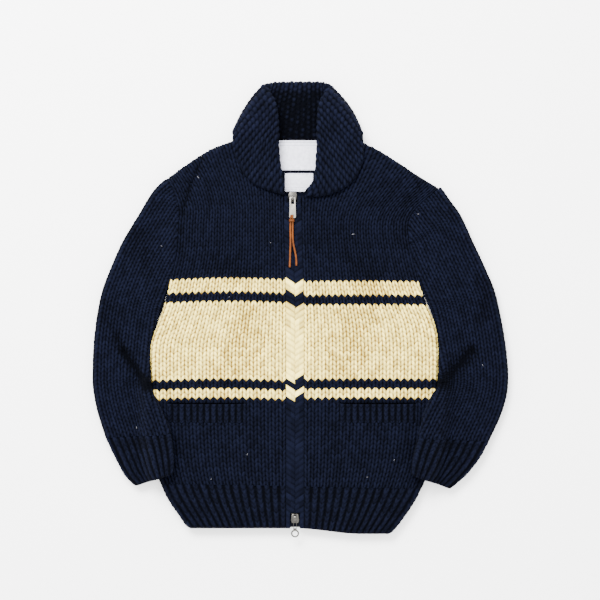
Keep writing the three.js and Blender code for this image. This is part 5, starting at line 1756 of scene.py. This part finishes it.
class CARDIGAN_OT_labels(bpy.types.Operator):
    """Make the two bare woven labels and the stitches that hold them"""

    bl_idname = "cardigan.labels"
    bl_label = "Labels"

    STEPS_X, STEPS_Y = 48, 34
    BORDER = {"label_large": (0.82, 0.9), "label_small": (0.12, 0.2)}

    def sew(self, node, size, label):
        """A row of small stitches along each end of a label."""
        thread = woven("label_thread", (0.3, 0.3, 0.36), 5000.0, 0.7)
        run = smooth_route([(-1.1, 0, -0.3), (-0.6, 0, 0.3), (0.6, 0, 0.3), (1.1, 0, -0.3)], 6)
        stitch = add_object("stitch_form", *tube_parts(run, 0.28, 6), thread)
        tree, sockets = along_path_tree()
        for end, y in (("low", size["low_y"] + 1.3), ("high", size["high_y"] - 1.3)):
            line = []
            for x in np.linspace(size["low_x"] + 1.5, size["high_x"] - 1.5, 30):
                _, at, _, _ = label.ray_cast(Vector((x * MM, y * MM, 0.2)), Vector((0, 0, -1)))
                line.append((x, y, at.z / MM))
            path = add_object(f"{node}_stitches_{end}", line, [], thread)
            path.data.clear_geometry()
            path.data.from_pydata((np.array(line) * MM).tolist(), [(k, k + 1) for k in range(29)], [])
            sewn = run_tree(path, tree, sockets, {
                "Part": stitch, "Pitch": 0.0032, "Start": 0.0, "Material": thread})
            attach(sewn, "root")
        bpy.data.objects.remove(stitch)

    def execute(self, context):
        cloth = woven("label_satin", tuple(context.scene.cardigan_trim.label), 3200.0, 0.55,
                      line=(0.33, 0.34, 0.4))
        for node, size in LABELS.items():
            s = np.linspace(0, 1, self.STEPS_X + 1)
            t = np.linspace(0, 1, self.STEPS_Y + 1)
            across, along = np.meshgrid(s, t, indexing="ij")
            x = mix(size["low_x"], size["high_x"], across)
            y = mix(size["low_y"], size["high_y"], along)
            puff = size["bow"] * 4 * across * (1 - across)
            pull = 0.35 * np.sin(across * 2 * math.pi * 7) * (crown(along, 2) < 0.35)
            z = LABEL["bottom"] + puff + pull + 0.25 * np.sin(along * 9 + across * 4)
            grid = np.arange(across.size).reshape(across.shape)
            top = np.stack([x, y, z + LABEL["thickness"]], axis=-1).reshape(-1, 3)
            below = np.stack([x, y, z + 0.2], axis=-1).reshape(-1, 3)
            quads = np.stack([grid[:-1, :-1], grid[1:, :-1], grid[1:, 1:], grid[:-1, 1:]],
                             axis=-1).reshape(-1, 4)
            loops = boundary_loops(quads)
            faces = quads.tolist() + (quads[:, ::-1] + across.size).tolist()
            for loop in loops:
                n = len(loop)
                faces += [(loop[(k + 1) % n], loop[k], loop[k] + across.size,
                           loop[(k + 1) % n] + across.size)
                          for k in range(n)]
            label = add_object(f"{node}_cloth", np.concatenate([top, below]), faces, cloth)
            low, high = self.BORDER[node]
            row = (quads[:, 0] % (self.STEPS_Y + 1)) / self.STEPS_Y
            marked = ((np.abs(row - low) < 0.016) | (np.abs(row - high) < 0.016)).astype(float)
            lines = label.data.attributes.new("line", "FLOAT", "FACE")
            lines.data.foreach_set("value", np.concatenate([marked, np.zeros(len(faces) - len(quads))]))
            settle(label, node)
            self.sew(node, size, label)
        return {"FINISHED"}


class CARDIGAN_OT_flecks(bpy.types.Operator):
    """Scatter pale coarse hairs over the dark wool"""

    bl_idname = "cardigan.flecks"
    bl_label = "Flecks"

    PLACES = (  # millimetres across and up
        (-93, -252), (-156, -295), (-286, -205), (29, -317), (-23, -243), (117, -292), (-124.6, 23),
        (-242, 112),
        (206, 168), (-52, 118), (164, -262), (318, -96), (92, 132), (-178, 232),
    )

    def execute(self, context):
        pale = leather("kemp_hair", (0.1, 0.1, 0.11))
        run = smooth_route([(-2.0, 0.0, 0.1), (-0.7, 0.5, 0.5), (0.8, 0.2, 0.5), (2.1, -0.5, 0.0)], 7)
        hair = add_object("hair_form", *tube_parts(run, 0.34, 5, taper=np.sin(np.linspace(0.35, 2.8, 7))),
                          pale)
        places = {"front_left": [], "front_right": [], "sleeve_left": [], "sleeve_right": []}
        for x, y in self.PLACES:
            for node, found in places.items():
                knit = bpy.data.objects[f"{node}_knit"]
                hit, at, normal, _ = knit.ray_cast(Vector((x * MM, y * MM, 0.2)), Vector((0, 0, -1)))
                if hit and normal.z > 0.2:
                    found.append((at.x, at.y, at.z + 0.0001))
        tree, sockets = fibre_tree()
        for seed, (node, found) in enumerate(places.items()):
            if not found:
                continue
            spots = add_object(f"flecks_{node}", np.array(found) / MM, [], pale)
            flecks = run_tree(spots, tree, sockets, {"Part": hair, "Seed": SEED + seed, "Material": pale})
            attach(flecks, "root")
        bpy.data.objects.remove(hair)
        return {"FINISHED"}


class CARDIGAN_PT_pieces(bpy.types.Panel):
    """Lists the cardigan's pieces and their sizes"""

    bl_idname = "CARDIGAN_PT_pieces"
    bl_label = "Knitted Cardigan"
    bl_space_type = "VIEW_3D"
    bl_region_type = "UI"
    bl_category = "Cardigan"

    def draw(self, context):
        for operator in OPERATORS:
            self.layout.operator(operator.bl_idname)
        for settings in (context.scene.cardigan_wool, context.scene.cardigan_trim,
                         context.scene.cardigan_stage):
            box = self.layout.box()
            for name in type(settings).__annotations__:
                box.prop(settings, name)


OPERATORS = (
    CARDIGAN_OT_stage, CARDIGAN_OT_lace, CARDIGAN_OT_fronts, CARDIGAN_OT_back, CARDIGAN_OT_hems,
    CARDIGAN_OT_sleeves,
    CARDIGAN_OT_cuffs, CARDIGAN_OT_collar, CARDIGAN_OT_bands, CARDIGAN_OT_pockets, CARDIGAN_OT_zip,
    CARDIGAN_OT_labels, CARDIGAN_OT_flecks,
)
GROUPS = {"cardigan_wool": CardiganWool, "cardigan_trim": CardiganTrim, "cardigan_stage": CardiganStage}


def register():
    for kind in (*GROUPS.values(), *OPERATORS, CARDIGAN_PT_pieces):
        bpy.utils.register_class(kind)
    for name, kind in GROUPS.items():
        setattr(bpy.types.Scene, name, bpy.props.PointerProperty(type=kind))


def unregister():
    for name in GROUPS:
        delattr(bpy.types.Scene, name)
    for kind in reversed((*GROUPS.values(), *OPERATORS, CARDIGAN_PT_pieces)):
        bpy.utils.unregister_class(kind)


def main():
    register()
    for operator in OPERATORS:
        category, name = operator.bl_idname.split(".")
        getattr(getattr(bpy.ops, category), name)()


if __name__ == "__main__":
    main()
